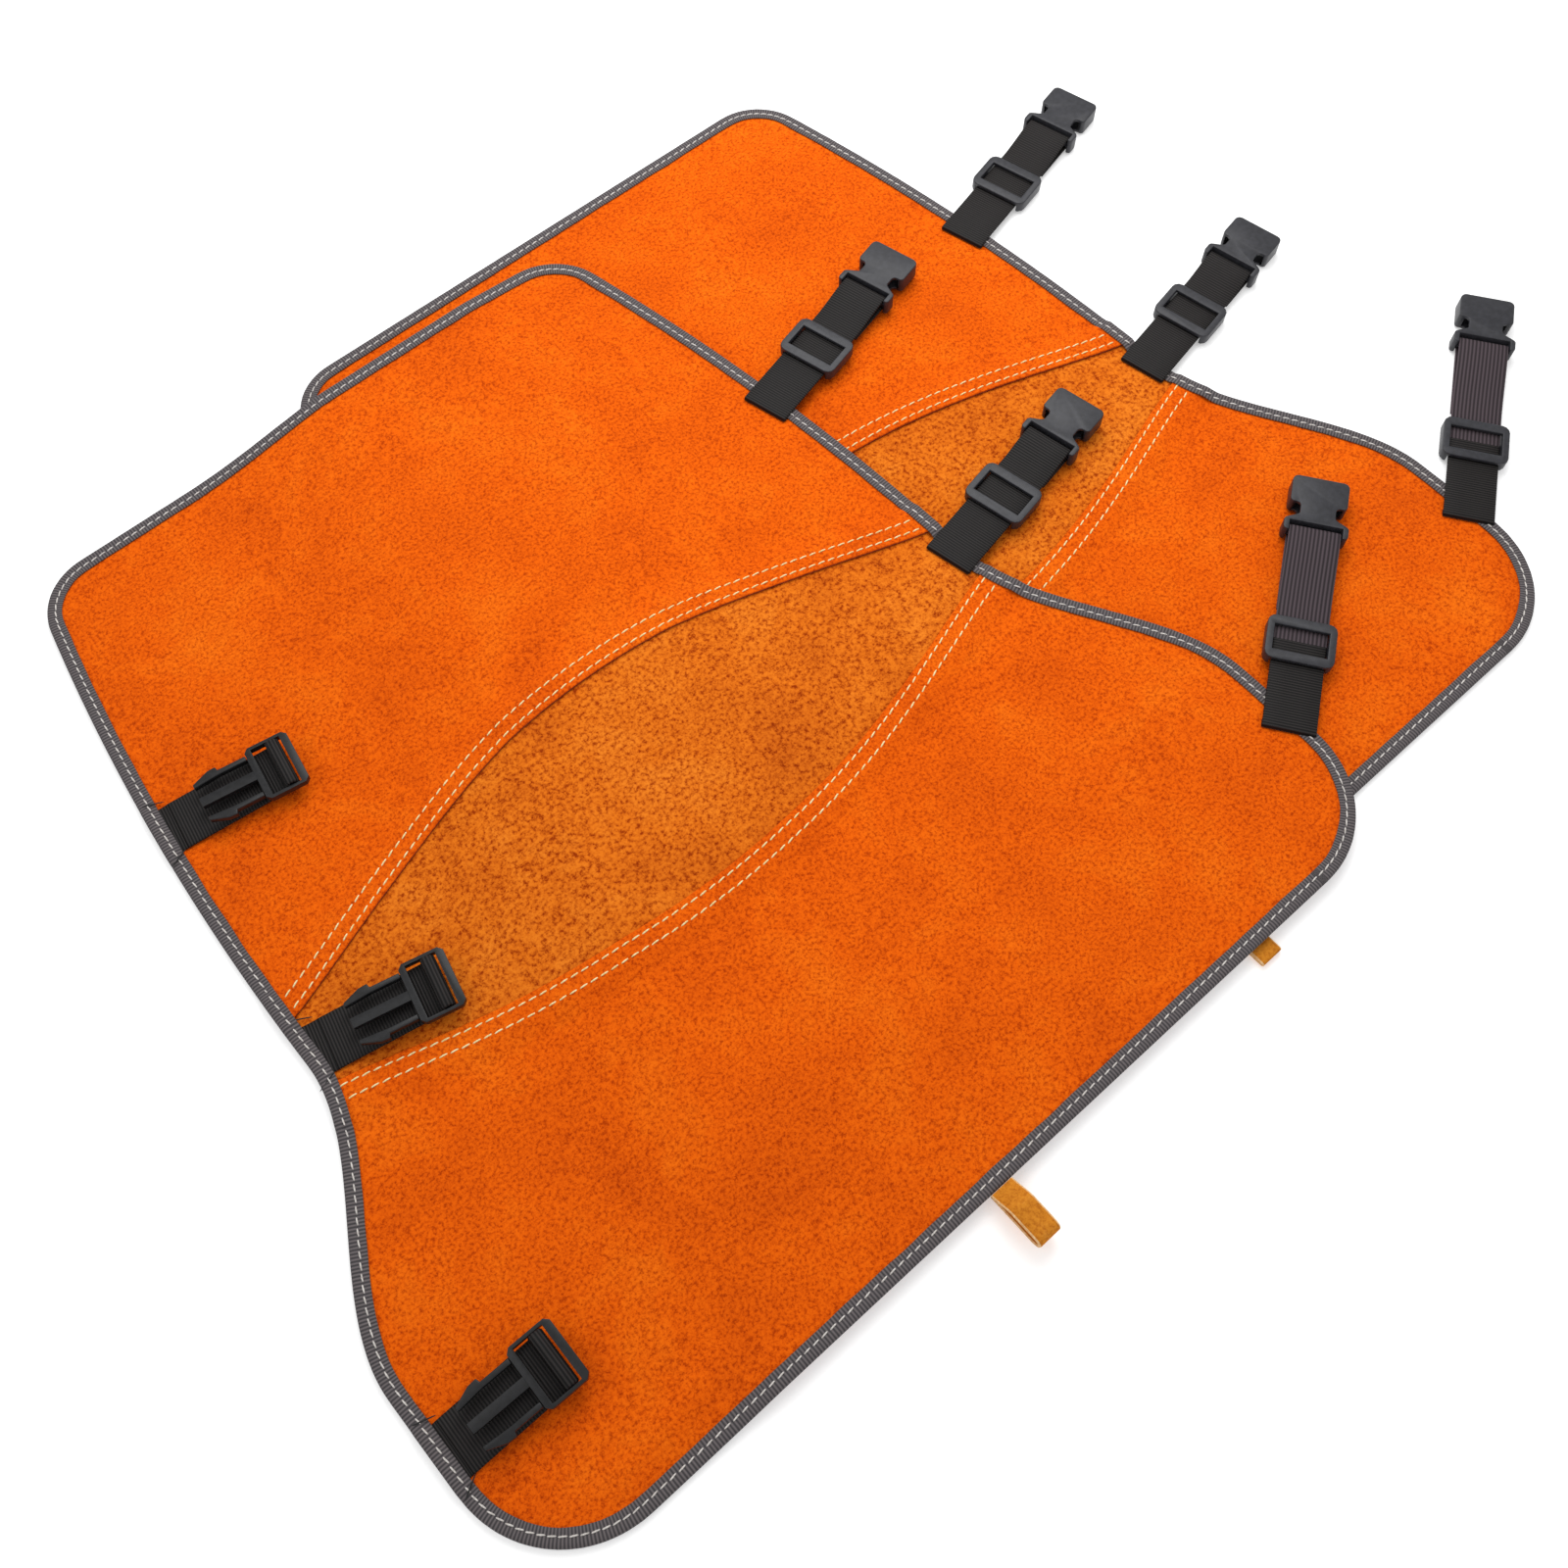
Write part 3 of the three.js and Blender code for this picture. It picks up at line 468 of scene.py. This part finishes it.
def folded_tape(side, material):
    points, inward, _, run = tape_line(TAPE_STEP)
    corners = []
    uvs = []
    for (x, y), (nx, ny), s in zip(points, inward, run):
        top = TAPE_TOP + seam_lift(x, y) + 0.12 * noise.noise(Vector((s / 7, 0, 2)))
        over_strap = strap_lift(x, y)
        reach = TAPE_REACH + 0.35 * noise.noise(Vector((s / 16, 4, 1)))
        section = tape_section(top, reach)
        for k, (inset, z) in enumerate(section):
            px = x + nx * inset
            py = y + ny * inset
            if z > TAPE:
                z += over_strap * strap_share(inset)
            corners.append((px, py, z + float(lie(side, px, py))))
            uvs.append((s, inset))
    n = len(section)
    faces = []
    for i in range(len(points)):
        j = (i + 1) % len(points)
        for k in range(n):
            m = (k + 1) % n
            faces.append((i * n + k, j * n + k, j * n + m, i * n + m))
    piece = new_piece(f"{side}_edge_tape", corners, faces, [material], side, uvs)
    return piece, float(run[-1])


# ---- Stitches ----
THREAD_SIDES = 6
STITCH_END = (0.25, -0.55)  # thickness and lift there, as shares of the thread's radius
STITCH_SHOULDER = (0.85, -0.1)
STITCH_CREST = (1, 0.25)
STITCH_PROFILE = [
    (-0.5, *STITCH_END),
    (-0.36, *STITCH_SHOULDER),
    (0, *STITCH_CREST),
    (0.36, *STITCH_SHOULDER),
    (0.5, *STITCH_END),
]
STITCH_LEAN = 0.12  # radians by which a stitch lies aslant of its row
STITCH_UNEVEN = 0.12


def stitches(name, side, centres, directions, length, radius, material):
    """One mesh of short thread capsules that dive into the work at each end."""
    corners = []
    faces = []
    profile = STITCH_PROFILE
    sides = THREAD_SIDES
    for n, ((x, y, z), (dx, dy)) in enumerate(zip(centres, directions)):
        turn = STITCH_LEAN + 0.1 * noise.noise(Vector((n * 1.7, 3, 7)))
        cx = dx * math.cos(turn) - dy * math.sin(turn)
        cy = dx * math.sin(turn) + dy * math.cos(turn)
        stretch = length * (1 + STITCH_UNEVEN * noise.noise(Vector((n * 2.3, 9, 1))))
        start = len(corners)
        for along, thick, lift in profile:
            for k in range(sides):
                angle = 2 * math.pi * k / sides
                across = radius * thick * math.cos(angle)
                up = radius * thick * math.sin(angle) + lift * radius
                corners.append((
                    x + cx * along * stretch - cy * across,
                    y + cy * along * stretch + cx * across,
                    z + up,
                ))
        for ring in range(len(profile) - 1):
            for k in range(sides):
                a = start + ring * sides + k
                b = start + ring * sides + (k + 1) % sides
                faces.append((a, b, b + sides, a + sides))
        faces.append(tuple(start + k for k in range(sides - 1, -1, -1)))
        last = start + (len(profile) - 1) * sides
        faces.append(tuple(last + k for k in range(sides)))
    return new_piece(name, corners, faces, [material], side)


SEAM_STITCH_PITCH = 5
SEAM_STITCH_LENGTH = 4
SEAM_THREAD_RADIUS = 0.42
SEAM_ROWS_APART = 6.5
SEAM_OVERRUN = 8  # mm past the knee's half width, so that every row reaches the tape
STITCH_OFF_TAPE = 1.5


def seam_stitches(side, material):
    centres = []
    directions = []
    for seam, sign in ((shin_seam, 1), (thigh_seam, -1)):
        for row in (0, SEAM_ROWS_APART):
            x = np.linspace(-KNEE_HALF_WIDTH - SEAM_OVERRUN, KNEE_HALF_WIDTH + SEAM_OVERRUN, 300)
            line, _ = evenly(np.stack([x, seam(x) - sign * row], 1), SEAM_STITCH_PITCH)
            ahead = np.gradient(line, axis=0)
            ahead /= np.linalg.norm(ahead, axis=1)[:, None]
            for (px, py), direction in zip(line, ahead):
                if half_width(py) - abs(px) > TAPE_REACH + STITCH_OFF_TAPE:
                    centres.append((px, py, LAP_TOP + 0.1 + float(lie(side, px, py))))
                    directions.append(direction)
    name = f"{side}_seam_stitches"
    return stitches(
        name, side, centres, directions, SEAM_STITCH_LENGTH, SEAM_THREAD_RADIUS, material
    )


TAPE_STITCH_PITCH = 4.5
TAPE_STITCH_LENGTH = 3.6
TAPE_THREAD_RADIUS = 0.38
TAPE_THREAD_RISE = 0.15


def tape_stitches(side, material):
    points, inward, ahead, _ = tape_line(TAPE_STITCH_PITCH)
    centres = []
    for (x, y), (nx, ny) in zip(points, inward):
        px = x + nx * STITCH_INSET
        py = y + ny * STITCH_INSET
        lift = seam_lift(x, y) + strap_lift(x, y) * strap_share(STITCH_INSET)
        z = TAPE_TOP + lift - STITCH_DIP + TAPE_THREAD_RISE
        centres.append((px, py, z + float(lie(side, px, py))))
    name = f"{side}_tape_stitches"
    return stitches(name, side, centres, ahead, TAPE_STITCH_LENGTH, TAPE_THREAD_RADIUS, material)


# ---- Webbing and the belt loop ----


def arc(cx, cy, radius, start, end, steps=16):
    angles = np.radians(np.linspace(start, end, steps))
    return np.stack([cx + radius * np.cos(angles), cy + radius * np.sin(angles)], 1)


BAND_STEP = 1.2  # mm between a band's mesh lines
EDGE_FACES = (0, 1, 5, 6, 7, 8, 12, 13)  # of a ribbon's section, the faces at its two edges


def ribbon(name, side, path, width, thick, place, materials, change=None, has_own_edge=False):
    """A flat band with rounded selvedges along path (u, v), set at place = (x, y, z, yaw)."""
    line, run = evenly(np.asarray(path, float), BAND_STEP)
    along = np.gradient(line, axis=0)
    along /= np.linalg.norm(along, axis=1)[:, None]
    up = np.stack([-along[:, 1], along[:, 0]], 1)
    half = width / 2
    t = thick / 2
    section = [(-half, 0), (-half + 0.15, 0.6 * t), (-half + 0.7, t)]
    section += [(-half / 3, t), (half / 3, t)]
    section += [(half - 0.7, t), (half - 0.15, 0.6 * t), (half, 0)]
    section += [(a, -b) for a, b in section[-2:0:-1]]
    x0, y0, z0, yaw = place
    c = math.cos(math.radians(yaw))
    s = math.sin(math.radians(yaw))
    corners = []
    uvs = []
    for (u, v), (nu, nv), r in zip(line, up, run):
        for a, b in section:
            pu = u + nu * b
            corners.append((x0 + c * pu - s * a, y0 + s * pu + c * a, z0 + v + nv * b))
            uvs.append((r, a))
    n = len(section)
    faces = []
    kinds = []
    for i in range(len(line) - 1):
        for k in range(n):
            m = (k + 1) % n
            faces.append((i * n + k, (i + 1) * n + k, (i + 1) * n + m, i * n + m))
            is_past = change is not None and line[i, 0] > change
            kinds.append(int(is_past or (has_own_edge and k in EDGE_FACES)))
    faces.append(tuple(range(n - 1, -1, -1)))
    faces.append(tuple((len(line) - 1) * n + k for k in range(n)))
    kinds += [0, kinds[-1]]
    piece = new_piece(name, corners, faces, materials, side, uvs, kinds)
    return piece, float(run[-1])


def height_under(spec, x, start, end):
    yaw = math.radians(spec["yaw"])
    heights = []
    for reach in (start, end):
        for aside in (-PLUG_HALF_WIDTH, PLUG_HALF_WIDTH):
            px = x + math.cos(yaw) * reach - math.sin(yaw) * aside
            py = spec["y"] + math.sin(yaw) * reach + math.cos(yaw) * aside
            heights.append(float(creased_drape(px, py)))
    return max(heights)


FOLD_RADIUS = 0.6  # of the long strap's turned-under end
LEVEL_PAST_ADJUSTER = 1
TURNED_OVER = 150  # degrees to which the short strap's end wraps round its bar


def long_strap(side, part, black, far):
    spec = LONG_STRAPS[part]
    edge = float(half_width(spec["y"]))
    height = height_under(spec, edge, -STRAP_START, spec["bar"]) if side == "top" else 0
    level = spec["adjuster"] + ADJUSTER_LENGTH / 2 + ADJUSTER_TRAVEL + LEVEL_PAST_ADJUSTER
    fold = FOLD_RADIUS
    lower = STRAP_MIDDLE - 2 * fold
    turn = arc(-STRAP_START + fold, STRAP_MIDDLE - fold, fold, 270, 90, 8)
    climb = np.linspace(0, 1, 12)
    ease = climb * climb * (3 - 2 * climb)
    top = SOCKET_CENTRE_HEIGHT + WRAP_RADIUS
    rise = np.stack([
        level + (spec["bar"] - level) * climb,
        STRAP_MIDDLE + (top - STRAP_MIDDLE) * ease,
    ], 1)
    wrap = arc(spec["bar"], SOCKET_CENTRE_HEIGHT, WRAP_RADIUS, 90, -90)
    tail = [(level + 1, SOCKET_CENTRE_HEIGHT - WRAP_RADIUS)]
    path = np.concatenate([[(-TAPE_REACH - 1, lower)], turn, rise, wrap[1:], tail])
    place = (edge, spec["y"], height, spec["yaw"])
    name = f"{side}_{part}_long_webbing"
    piece, length = ribbon(
        name, side, path, WEBBING_WIDTH, WEBBING - 0.2, place, [black, far], spec["adjuster"]
    )
    node = f"{side}_{part}_strap"
    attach(piece, node)
    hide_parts(node)


ROOT_END = (3.5, 2.5)  # sewn end of a short strap: inset under the tape, and height
ROOT_UNDER_HEM = (TAPE_REACH + 0.2, 2.6)
ROOT_JOIN_HEIGHT = 3.2


def short_strap(side, part, black):
    """The visible short strap, and its root, which stays with the guard when the strap swings."""
    spec = TABS[part]
    edge = -float(half_width(spec["y"]))
    height = height_under(spec, edge, 0, spec["bar"] + PLUG_FAR_END) if side == "top" else 0
    bar = FREE_BAR_HEIGHT if side == "top" else PRESSED_BAR_HEIGHT
    turn = abs(math.sin(math.radians(spec["yaw"])))
    start = TAPE_REACH + TAB_MARGIN + turn * WEBBING_WIDTH / 2
    wrap = arc(spec["bar"], bar, WRAP_RADIUS, -90, TURNED_OVER, 22)
    path = np.concatenate([[(start, TAB_MIDDLE)], wrap])
    place = (edge, spec["y"], height, spec["yaw"])
    node = f"{side}_{part}_tab"
    piece, length = ribbon(
        f"{side}_{part}_short_webbing", side, path, WEBBING_WIDTH, WEBBING, place, [black]
    )
    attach(piece, node if side == "top" else "under_guard")
    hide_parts(node)
    root = [ROOT_END, ROOT_UNDER_HEM]
    root += [(start - 0.2, ROOT_JOIN_HEIGHT), (start + 0.3, TAB_MIDDLE)]
    stub, hidden = ribbon(
        f"{side}_{part}_webbing_root", side, root, WEBBING_WIDTH, WEBBING - 0.2, place, [black]
    )
    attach(stub, f"{side}_guard")
    tacking_threads(side, part, place)


TACK_LENGTH = 9
TACK_RADIUS = 0.3
TACK_FROM_HEM = 1.5
TACK_ASIDE = 2.8  # from the strap's edge, out of the way when it folds back
TACK_LEAN = 0.45  # towards the strap, as a slope
TACK_RISE = 0.7 * WEBBING


def tacking_threads(side, part, place):
    """A loose black thread across the tape on each side of a short strap."""
    x, y, z, yaw = place
    c = math.cos(math.radians(yaw))
    s = math.sin(math.radians(yaw))
    centres = []
    directions = []
    for way in (-1, 1):
        reach = TAPE_REACH - TACK_FROM_HEM
        aside = way * (WEBBING_WIDTH / 2 + TACK_ASIDE)
        height = z + TAPE_TOP + TACK_RISE
        centres.append((x + c * reach - s * aside, y + s * reach + c * aside, height))
        lean = -TACK_LEAN * way
        directions.append((c - s * lean, s + c * lean))
    name = f"{side}_{part}_tacking"
    threads = stitches(name, side, centres, directions, TACK_LENGTH, TACK_RADIUS, black_thread)
    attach(threads, f"{side}_guard")


def belt_loop(side, material):
    lower = CLEARANCE + LOOP_LEATHER / 2
    pressed = lower + LOOP_LEATHER + CLEARANCE
    height = LOOP_OPEN_HEIGHT if side == "top" else pressed
    turn = (height - lower) / 2
    end = LOOP_REACH - turn
    climb = np.linspace(0, 1, 10)
    ease = climb * climb * (3 - 2 * climb)
    out = CLEARANCE + (end - CLEARANCE) * climb / 2
    upper = np.stack([out, pressed + (height - pressed) * ease], 1)
    path = np.concatenate([upper, arc(end, lower + turn, turn, 90, -90, 14), [(CLEARANCE, lower)]])
    rest = float(lie(side, LOOP_X, -GUARD_LENGTH / 2))
    place = (LOOP_X, -GUARD_LENGTH / 2, rest, -90)
    name = f"{side}_leather_loop"
    piece, length = ribbon(
        name, side, path, LOOP_WIDTH, LOOP_LEATHER, place, [material, pale_edge], has_own_edge=True
    )
    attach(piece, f"{side}_guard")
    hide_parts(f"{side}_belt_loop")


# ---- Moulded buckles ----
MOULD_ROUND = 0.45  # mm radius on every moulded edge


def moulded(node, body, material):
    """The part's own buckle shape with its moulded edges rounded."""
    mesh = bpy.data.objects[node].data.copy()
    mesh.name = f"{node}_moulded"
    work = bmesh.new()
    work.from_mesh(mesh)
    bmesh.ops.remove_doubles(work, verts=work.verts, dist=0.00001)
    bmesh.ops.dissolve_limit(
        work, angle_limit=math.radians(2), verts=work.verts, edges=work.edges
    )
    sharp = [e for e in work.edges if e.is_manifold and e.calc_face_angle() > math.radians(35)]
    bmesh.ops.bevel(
        work,
        geom=sharp,
        offset=MOULD_ROUND * MM,
        offset_type="OFFSET",
        segments=2,
        profile=0.6,
        affect="EDGES",
        clamp_overlap=True,
    )
    work.to_mesh(mesh)
    work.free()
    mesh.materials.clear()
    mesh.materials.append(material)
    mesh.polygons.foreach_set("use_smooth", [True] * len(mesh.polygons))
    mesh.set_sharp_from_angle(angle=math.radians(40))
    piece = bpy.data.objects.new(f"{node}_moulded", mesh)
    bpy.context.scene.collection.objects.link(piece)
    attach(piece, body)
    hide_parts(node)
    return piece


# ---- Finishes ----


def add(tree, kind, settings=None, links=None):
    """Adds a node, sets its properties and input values, and links its inputs."""
    node = tree.nodes.new(kind)
    for key, value in (settings or {}).items():
        if key in node.inputs:
            node.inputs[key].default_value = value
        else:
            setattr(node, key, value)
    for key, (source, output) in (links or {}).items():
        tree.links.new(source.outputs[output], node.inputs[key])
    return node


def new_finish(name, roughness, settings=None):
    material = bpy.data.materials.new(name)
    material.use_nodes = True
    shader = material.node_tree.nodes["Principled BSDF"]
    shader.inputs["Roughness"].default_value = roughness
    for key, value in (settings or {}).items():
        shader.inputs[key].default_value = value
    return material, material.node_tree, shader


def ramp(tree, source, output, stops):
    node = add(tree, "ShaderNodeValToRGB", None, {"Fac": (source, output)})
    while len(node.color_ramp.elements) < len(stops):
        node.color_ramp.elements.new(0.5)
    for element, (position, colour) in zip(node.color_ramp.elements, stops):
        element.position = position
        element.color = linear(colour)
    return node


PATCH_MM = 55  # size of the dye's darker and lighter patches


def split_suede(name, dark, middle, light, nap_mm, nap_strength):
    """Split cowhide, buffed to a nap: dry and matt, patchy in colour, speckled by its fibres."""
    material, tree, shader = new_finish(name, 0.95, {"Specular IOR Level": 0.06})
    where = add(tree, "ShaderNodeTexCoord")
    patches = add(
        tree,
        "ShaderNodeTexNoise",
        {"Scale": 1 / (PATCH_MM * MM), "Detail": 6.0, "Roughness": 0.72, "Distortion": 0.3},
        {"Vector": (where, "Object")},
    )
    nap = add(
        tree,
        "ShaderNodeTexNoise",
        {"Scale": 1 / (nap_mm * MM), "Detail": 3.0, "Roughness": 0.7},
        {"Vector": (where, "Object")},
    )
    ground = ramp(tree, patches, "Fac", [(0.25, dark), (0.5, middle), (0.75, light)])
    speck = ramp(tree, nap, "Fac", [(0.34, "#A87458"), (0.5, "#EDDFD4"), (0.62, "#FFFFFF")])
    mixed = add(
        tree,
        "ShaderNodeMix",
        {"data_type": "RGBA", "blend_type": "MULTIPLY"},
    )
    mixed.inputs[0].default_value = nap_strength
    tree.links.new(ground.outputs["Color"], mixed.inputs[6])
    tree.links.new(speck.outputs["Color"], mixed.inputs[7])
    tree.links.new(mixed.outputs[2], shader.inputs["Base Color"])
    bump = add(
        tree,
        "ShaderNodeBump",
        {"Strength": 0.5, "Distance": 0.35 * MM},
        {"Height": (nap, "Fac")},
    )
    tree.links.new(bump.outputs["Normal"], shader.inputs["Normal"])
    return material


def woven(name, valley, crest, rib_mm, roughness, across="X"):
    """Woven band: ribs set side by side along one of its directions, each crest painted a little
    lighter and each valley darker, as painted highlight and painted shade.
    """
    material, tree, shader = new_finish(name, roughness, {"Specular IOR Level": 0.2})
    where = add(tree, "ShaderNodeUVMap", {"uv_map": "UVMap"})
    ribs = add(
        tree,
        "ShaderNodeTexWave",
        {
            "wave_type": "BANDS",
            "bands_direction": across,
            "Scale": 0.314 / rib_mm,
            "Distortion": 0.25,
            "Detail": 1.0,
        },
        {"Vector": (where, "UV")},
    )
    # Painted shade in the ribs' valleys and painted highlight on their crests.
    colour = ramp(tree, ribs, "Fac", [(0.15, valley), (0.85, crest)])
    tree.links.new(colour.outputs["Color"], shader.inputs["Base Color"])
    bump = add(
        tree,
        "ShaderNodeBump",
        {"Strength": 0.6, "Distance": 0.35 * MM},
        {"Height": (ribs, "Fac")},
    )
    tree.links.new(bump.outputs["Normal"], shader.inputs["Normal"])
    return material


def plain_grained(name, dark, light, grain_mm, roughness, depth_mm, specular=0.5):
    """A surface whose colour and height vary finely, such as moulded plastic or thread."""
    material, tree, shader = new_finish(name, roughness, {"Specular IOR Level": specular})
    where = add(tree, "ShaderNodeTexCoord")
    grain = add(
        tree,
        "ShaderNodeTexNoise",
        {"Scale": 1 / (grain_mm * MM), "Detail": 3.0},
        {"Vector": (where, "Object")},
    )
    colour = ramp(tree, grain, "Fac", [(0.35, dark), (0.65, light)])
    tree.links.new(colour.outputs["Color"], shader.inputs["Base Color"])
    bump = add(
        tree,
        "ShaderNodeBump",
        {"Strength": 0.3, "Distance": depth_mm * MM},
        {"Height": (grain, "Fac")},
    )
    tree.links.new(bump.outputs["Normal"], shader.inputs["Normal"])
    return material


# Orange suede is even and bright; the knee's is browner, with a coarser nap.
side_suede = split_suede("split_suede_orange", "#DB5808", "#F06609", "#FA7812", 1.5, 0.8)
knee_suede = split_suede("split_suede_brown", "#CC6214", "#E6781A", "#F28A28", 2.0, 1.0)
# A cut edge shows the dyed fibres end on, so it is darker and redder.
cut_edge = plain_grained("cut_leather_edge", "#7A3210", "#A84A18", 1.5, 0.95, 0.2)
# The belt loop is a tan split, dyed on its face only, so its cut edge stays pale.
loop_leather = split_suede("split_leather_tan", "#BE7420", "#D98A2B", "#E8A552", 1.4, 0.5)
pale_edge = plain_grained("cut_leather_edge_pale", "#D9A56A", "#F0C894", 1.2, 0.95, 0.2)
# Polyester tape is woven with ribs across it, drawn at 1.5 mm so that they show.
grey_tape = woven("woven_tape_grey", "#434042", "#6D6667", 1.5, 0.85)
# Polypropylene webbing, ribs about 1.4 mm apart.
black_webbing = woven("woven_webbing_black", "#080707", "#2B2726", 1.4, 0.6)
# The doubled end of a thigh strap, whose columns run along it, is painted light: a lighter plum copy
# of the same webbing where it faces another way.
plum_painted_light_webbing = woven("woven_webbing_plum_painted_light", "#2C2528", "#50454A", 1.9, 0.75, "Y")
# Spun thread is dry and nearly white; the seams' is a warmer cream.
seam_thread = plain_grained("spun_thread_cream", "#E3CC7E", "#FBF0C0", 0.8, 0.8, 0.1)
tape_thread = plain_grained("spun_thread_white", "#BDB7B1", "#E6E1DB", 0.8, 0.8, 0.1)
black_thread = plain_grained("spun_thread_black", "#121212", "#242424", 0.8, 0.8, 0.1)
# Acetal is moulded with a fine satin texture that keeps a soft highlight.
satin_acetal = plain_grained("moulded_acetal_charcoal", "#29292D", "#323237", 2.5, 0.42, 0.03, 0.35)
black_acetal = plain_grained("moulded_acetal_black", "#161617", "#1F1F21", 2.5, 0.38, 0.03, 0.35)

# ---- The pair ----


def make_guard(side):
    body = f"{side}_guard"
    top = GUARD_LENGTH / 2 - LEATHER_BOTTOM
    specs = [
        ("shin", lambda x: shin_seam(x) - LAP_OVER, lambda x: 0 * x + top, shin_lap, side_suede),
        (
            "knee",
            lambda x: thigh_seam(x) - LAP_UNDER,
            lambda x: shin_seam(x) + LAP_UNDER,
            no_lap,
            knee_suede,
        ),
        ("thigh", lambda x: 0 * x - top, lambda x: thigh_seam(x) + LAP_OVER, thigh_lap, side_suede),
    ]
    tape, around = folded_tape(side, grey_tape)
    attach(tape, body)
    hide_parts(f"{side}_edge_binding")
    for part, low, high, lap, suede in specs:
        panel, flat, area = leather_panel(side, part, low, high, lap, [suede, cut_edge])
        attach(panel, body)
        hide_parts(f"{side}_{part}_panel")
    for piece in (seam_stitches(side, seam_thread), tape_stitches(side, tape_thread)):
        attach(piece, body)
    belt_loop(side, loop_leather)
    for part in LONG_STRAPS:
        # The thigh strap's doubled end takes the lighter plum copy, which is painted light.
        far = plum_painted_light_webbing if part == "thigh" else black_webbing
        long_strap(side, part, black_webbing, far)
        short_strap(side, part, black_webbing)
        for kind in ("adjuster", "socket"):
            node = f"{side}_{part}_{kind}"
            moulded(node, node, satin_acetal)
        for kind in ("plug", "left_latch", "right_latch"):
            node = f"{side}_{part}_{kind}"
            moulded(node, node if side == "top" else body, black_acetal)


make_guard("under")
make_guard("top")

# ---- Floor, light and camera ----
FLOOR_HALF = 4  # metres
FLOOR_DROP = 0.0003
floor_mesh = bpy.data.meshes.new("floor")
floor_corners = [(a * FLOOR_HALF, b * FLOOR_HALF, 0) for a, b in ((-1, -1), (1, -1), (1, 1), (-1, 1))]
floor_mesh.from_pydata(floor_corners, [], [(0, 1, 2, 3)])
floor = bpy.data.objects.new("floor", floor_mesh)
floor.location.z = -FLOOR_DROP
bpy.context.scene.collection.objects.link(floor)
# A white sweep lit from below, which keeps it white and the shadows on it faint.
floor_paint, _, _ = new_finish(
    "lit_white_sweep",
    0.95,
    {"Base Color": linear("#F4F4F4"), "Emission Color": linear("#FFFFFF"), "Emission Strength": 0.35},
)
floor_mesh.materials.append(floor_paint)

# The big soft lamp stands behind the pair, so the near corners fall away darker.
WORLD_STRENGTH = 0.62
KEY_PLACE = (0.30, 0.34, 0.72)
KEY_SIZE = 0.7
KEY_WATTS = 5.4
FILL_PLACE = (-0.9, 0.5, 1.4)
FILL_SIZE = 0.8
FILL_WATTS = 2

scene = bpy.context.scene
scene.view_settings.view_transform = "Standard"
world = bpy.data.worlds.new("studio")
world.use_nodes = True
world.node_tree.nodes["Background"].inputs["Color"].default_value = (1, 1, 1, 1)
world.node_tree.nodes["Background"].inputs["Strength"].default_value = WORLD_STRENGTH
scene.world = world


def soft_light(name, place, size, watts):
    lamp = bpy.data.lights.new(name, "AREA")
    lamp.size = size
    lamp.energy = watts
    holder = bpy.data.objects.new(name, lamp)
    holder.location = place
    holder.rotation_euler = (-Vector(place)).to_track_quat("-Z", "Y").to_euler()
    scene.collection.objects.link(holder)


soft_light("key_light", KEY_PLACE, KEY_SIZE, KEY_WATTS)
soft_light("fill_light", FILL_PLACE, FILL_SIZE, FILL_WATTS)

CAMERA_HEIGHT = 664  # mm above the table
CAMERA_FROM_TOP_GUARD = Vector((-164, -298, CAMERA_HEIGHT))
CAMERA_ELEVATION = math.radians(64.5)
CAMERA_FORWARD = Vector((0.6597, 0.7515, 0)).normalized()
SENSOR_WIDTH = 36  # mm
FOCAL_LENGTH = 37.1
lens = bpy.data.cameras.new("camera")
lens.sensor_width = SENSOR_WIDTH
lens.lens = FOCAL_LENGTH
lens.clip_start = 0.01
camera = bpy.data.objects.new("camera", lens)
camera.location = (GUARD_MIDDLE["top"] + CAMERA_FROM_TOP_GUARD) * MM
look = CAMERA_FORWARD * math.cos(CAMERA_ELEVATION) - Vector((0, 0, math.sin(CAMERA_ELEVATION)))
camera.rotation_euler = look.to_track_quat("-Z", "Y").to_euler()
scene.collection.objects.link(camera)
scene.camera = camera

bpy.context.view_layer.update()
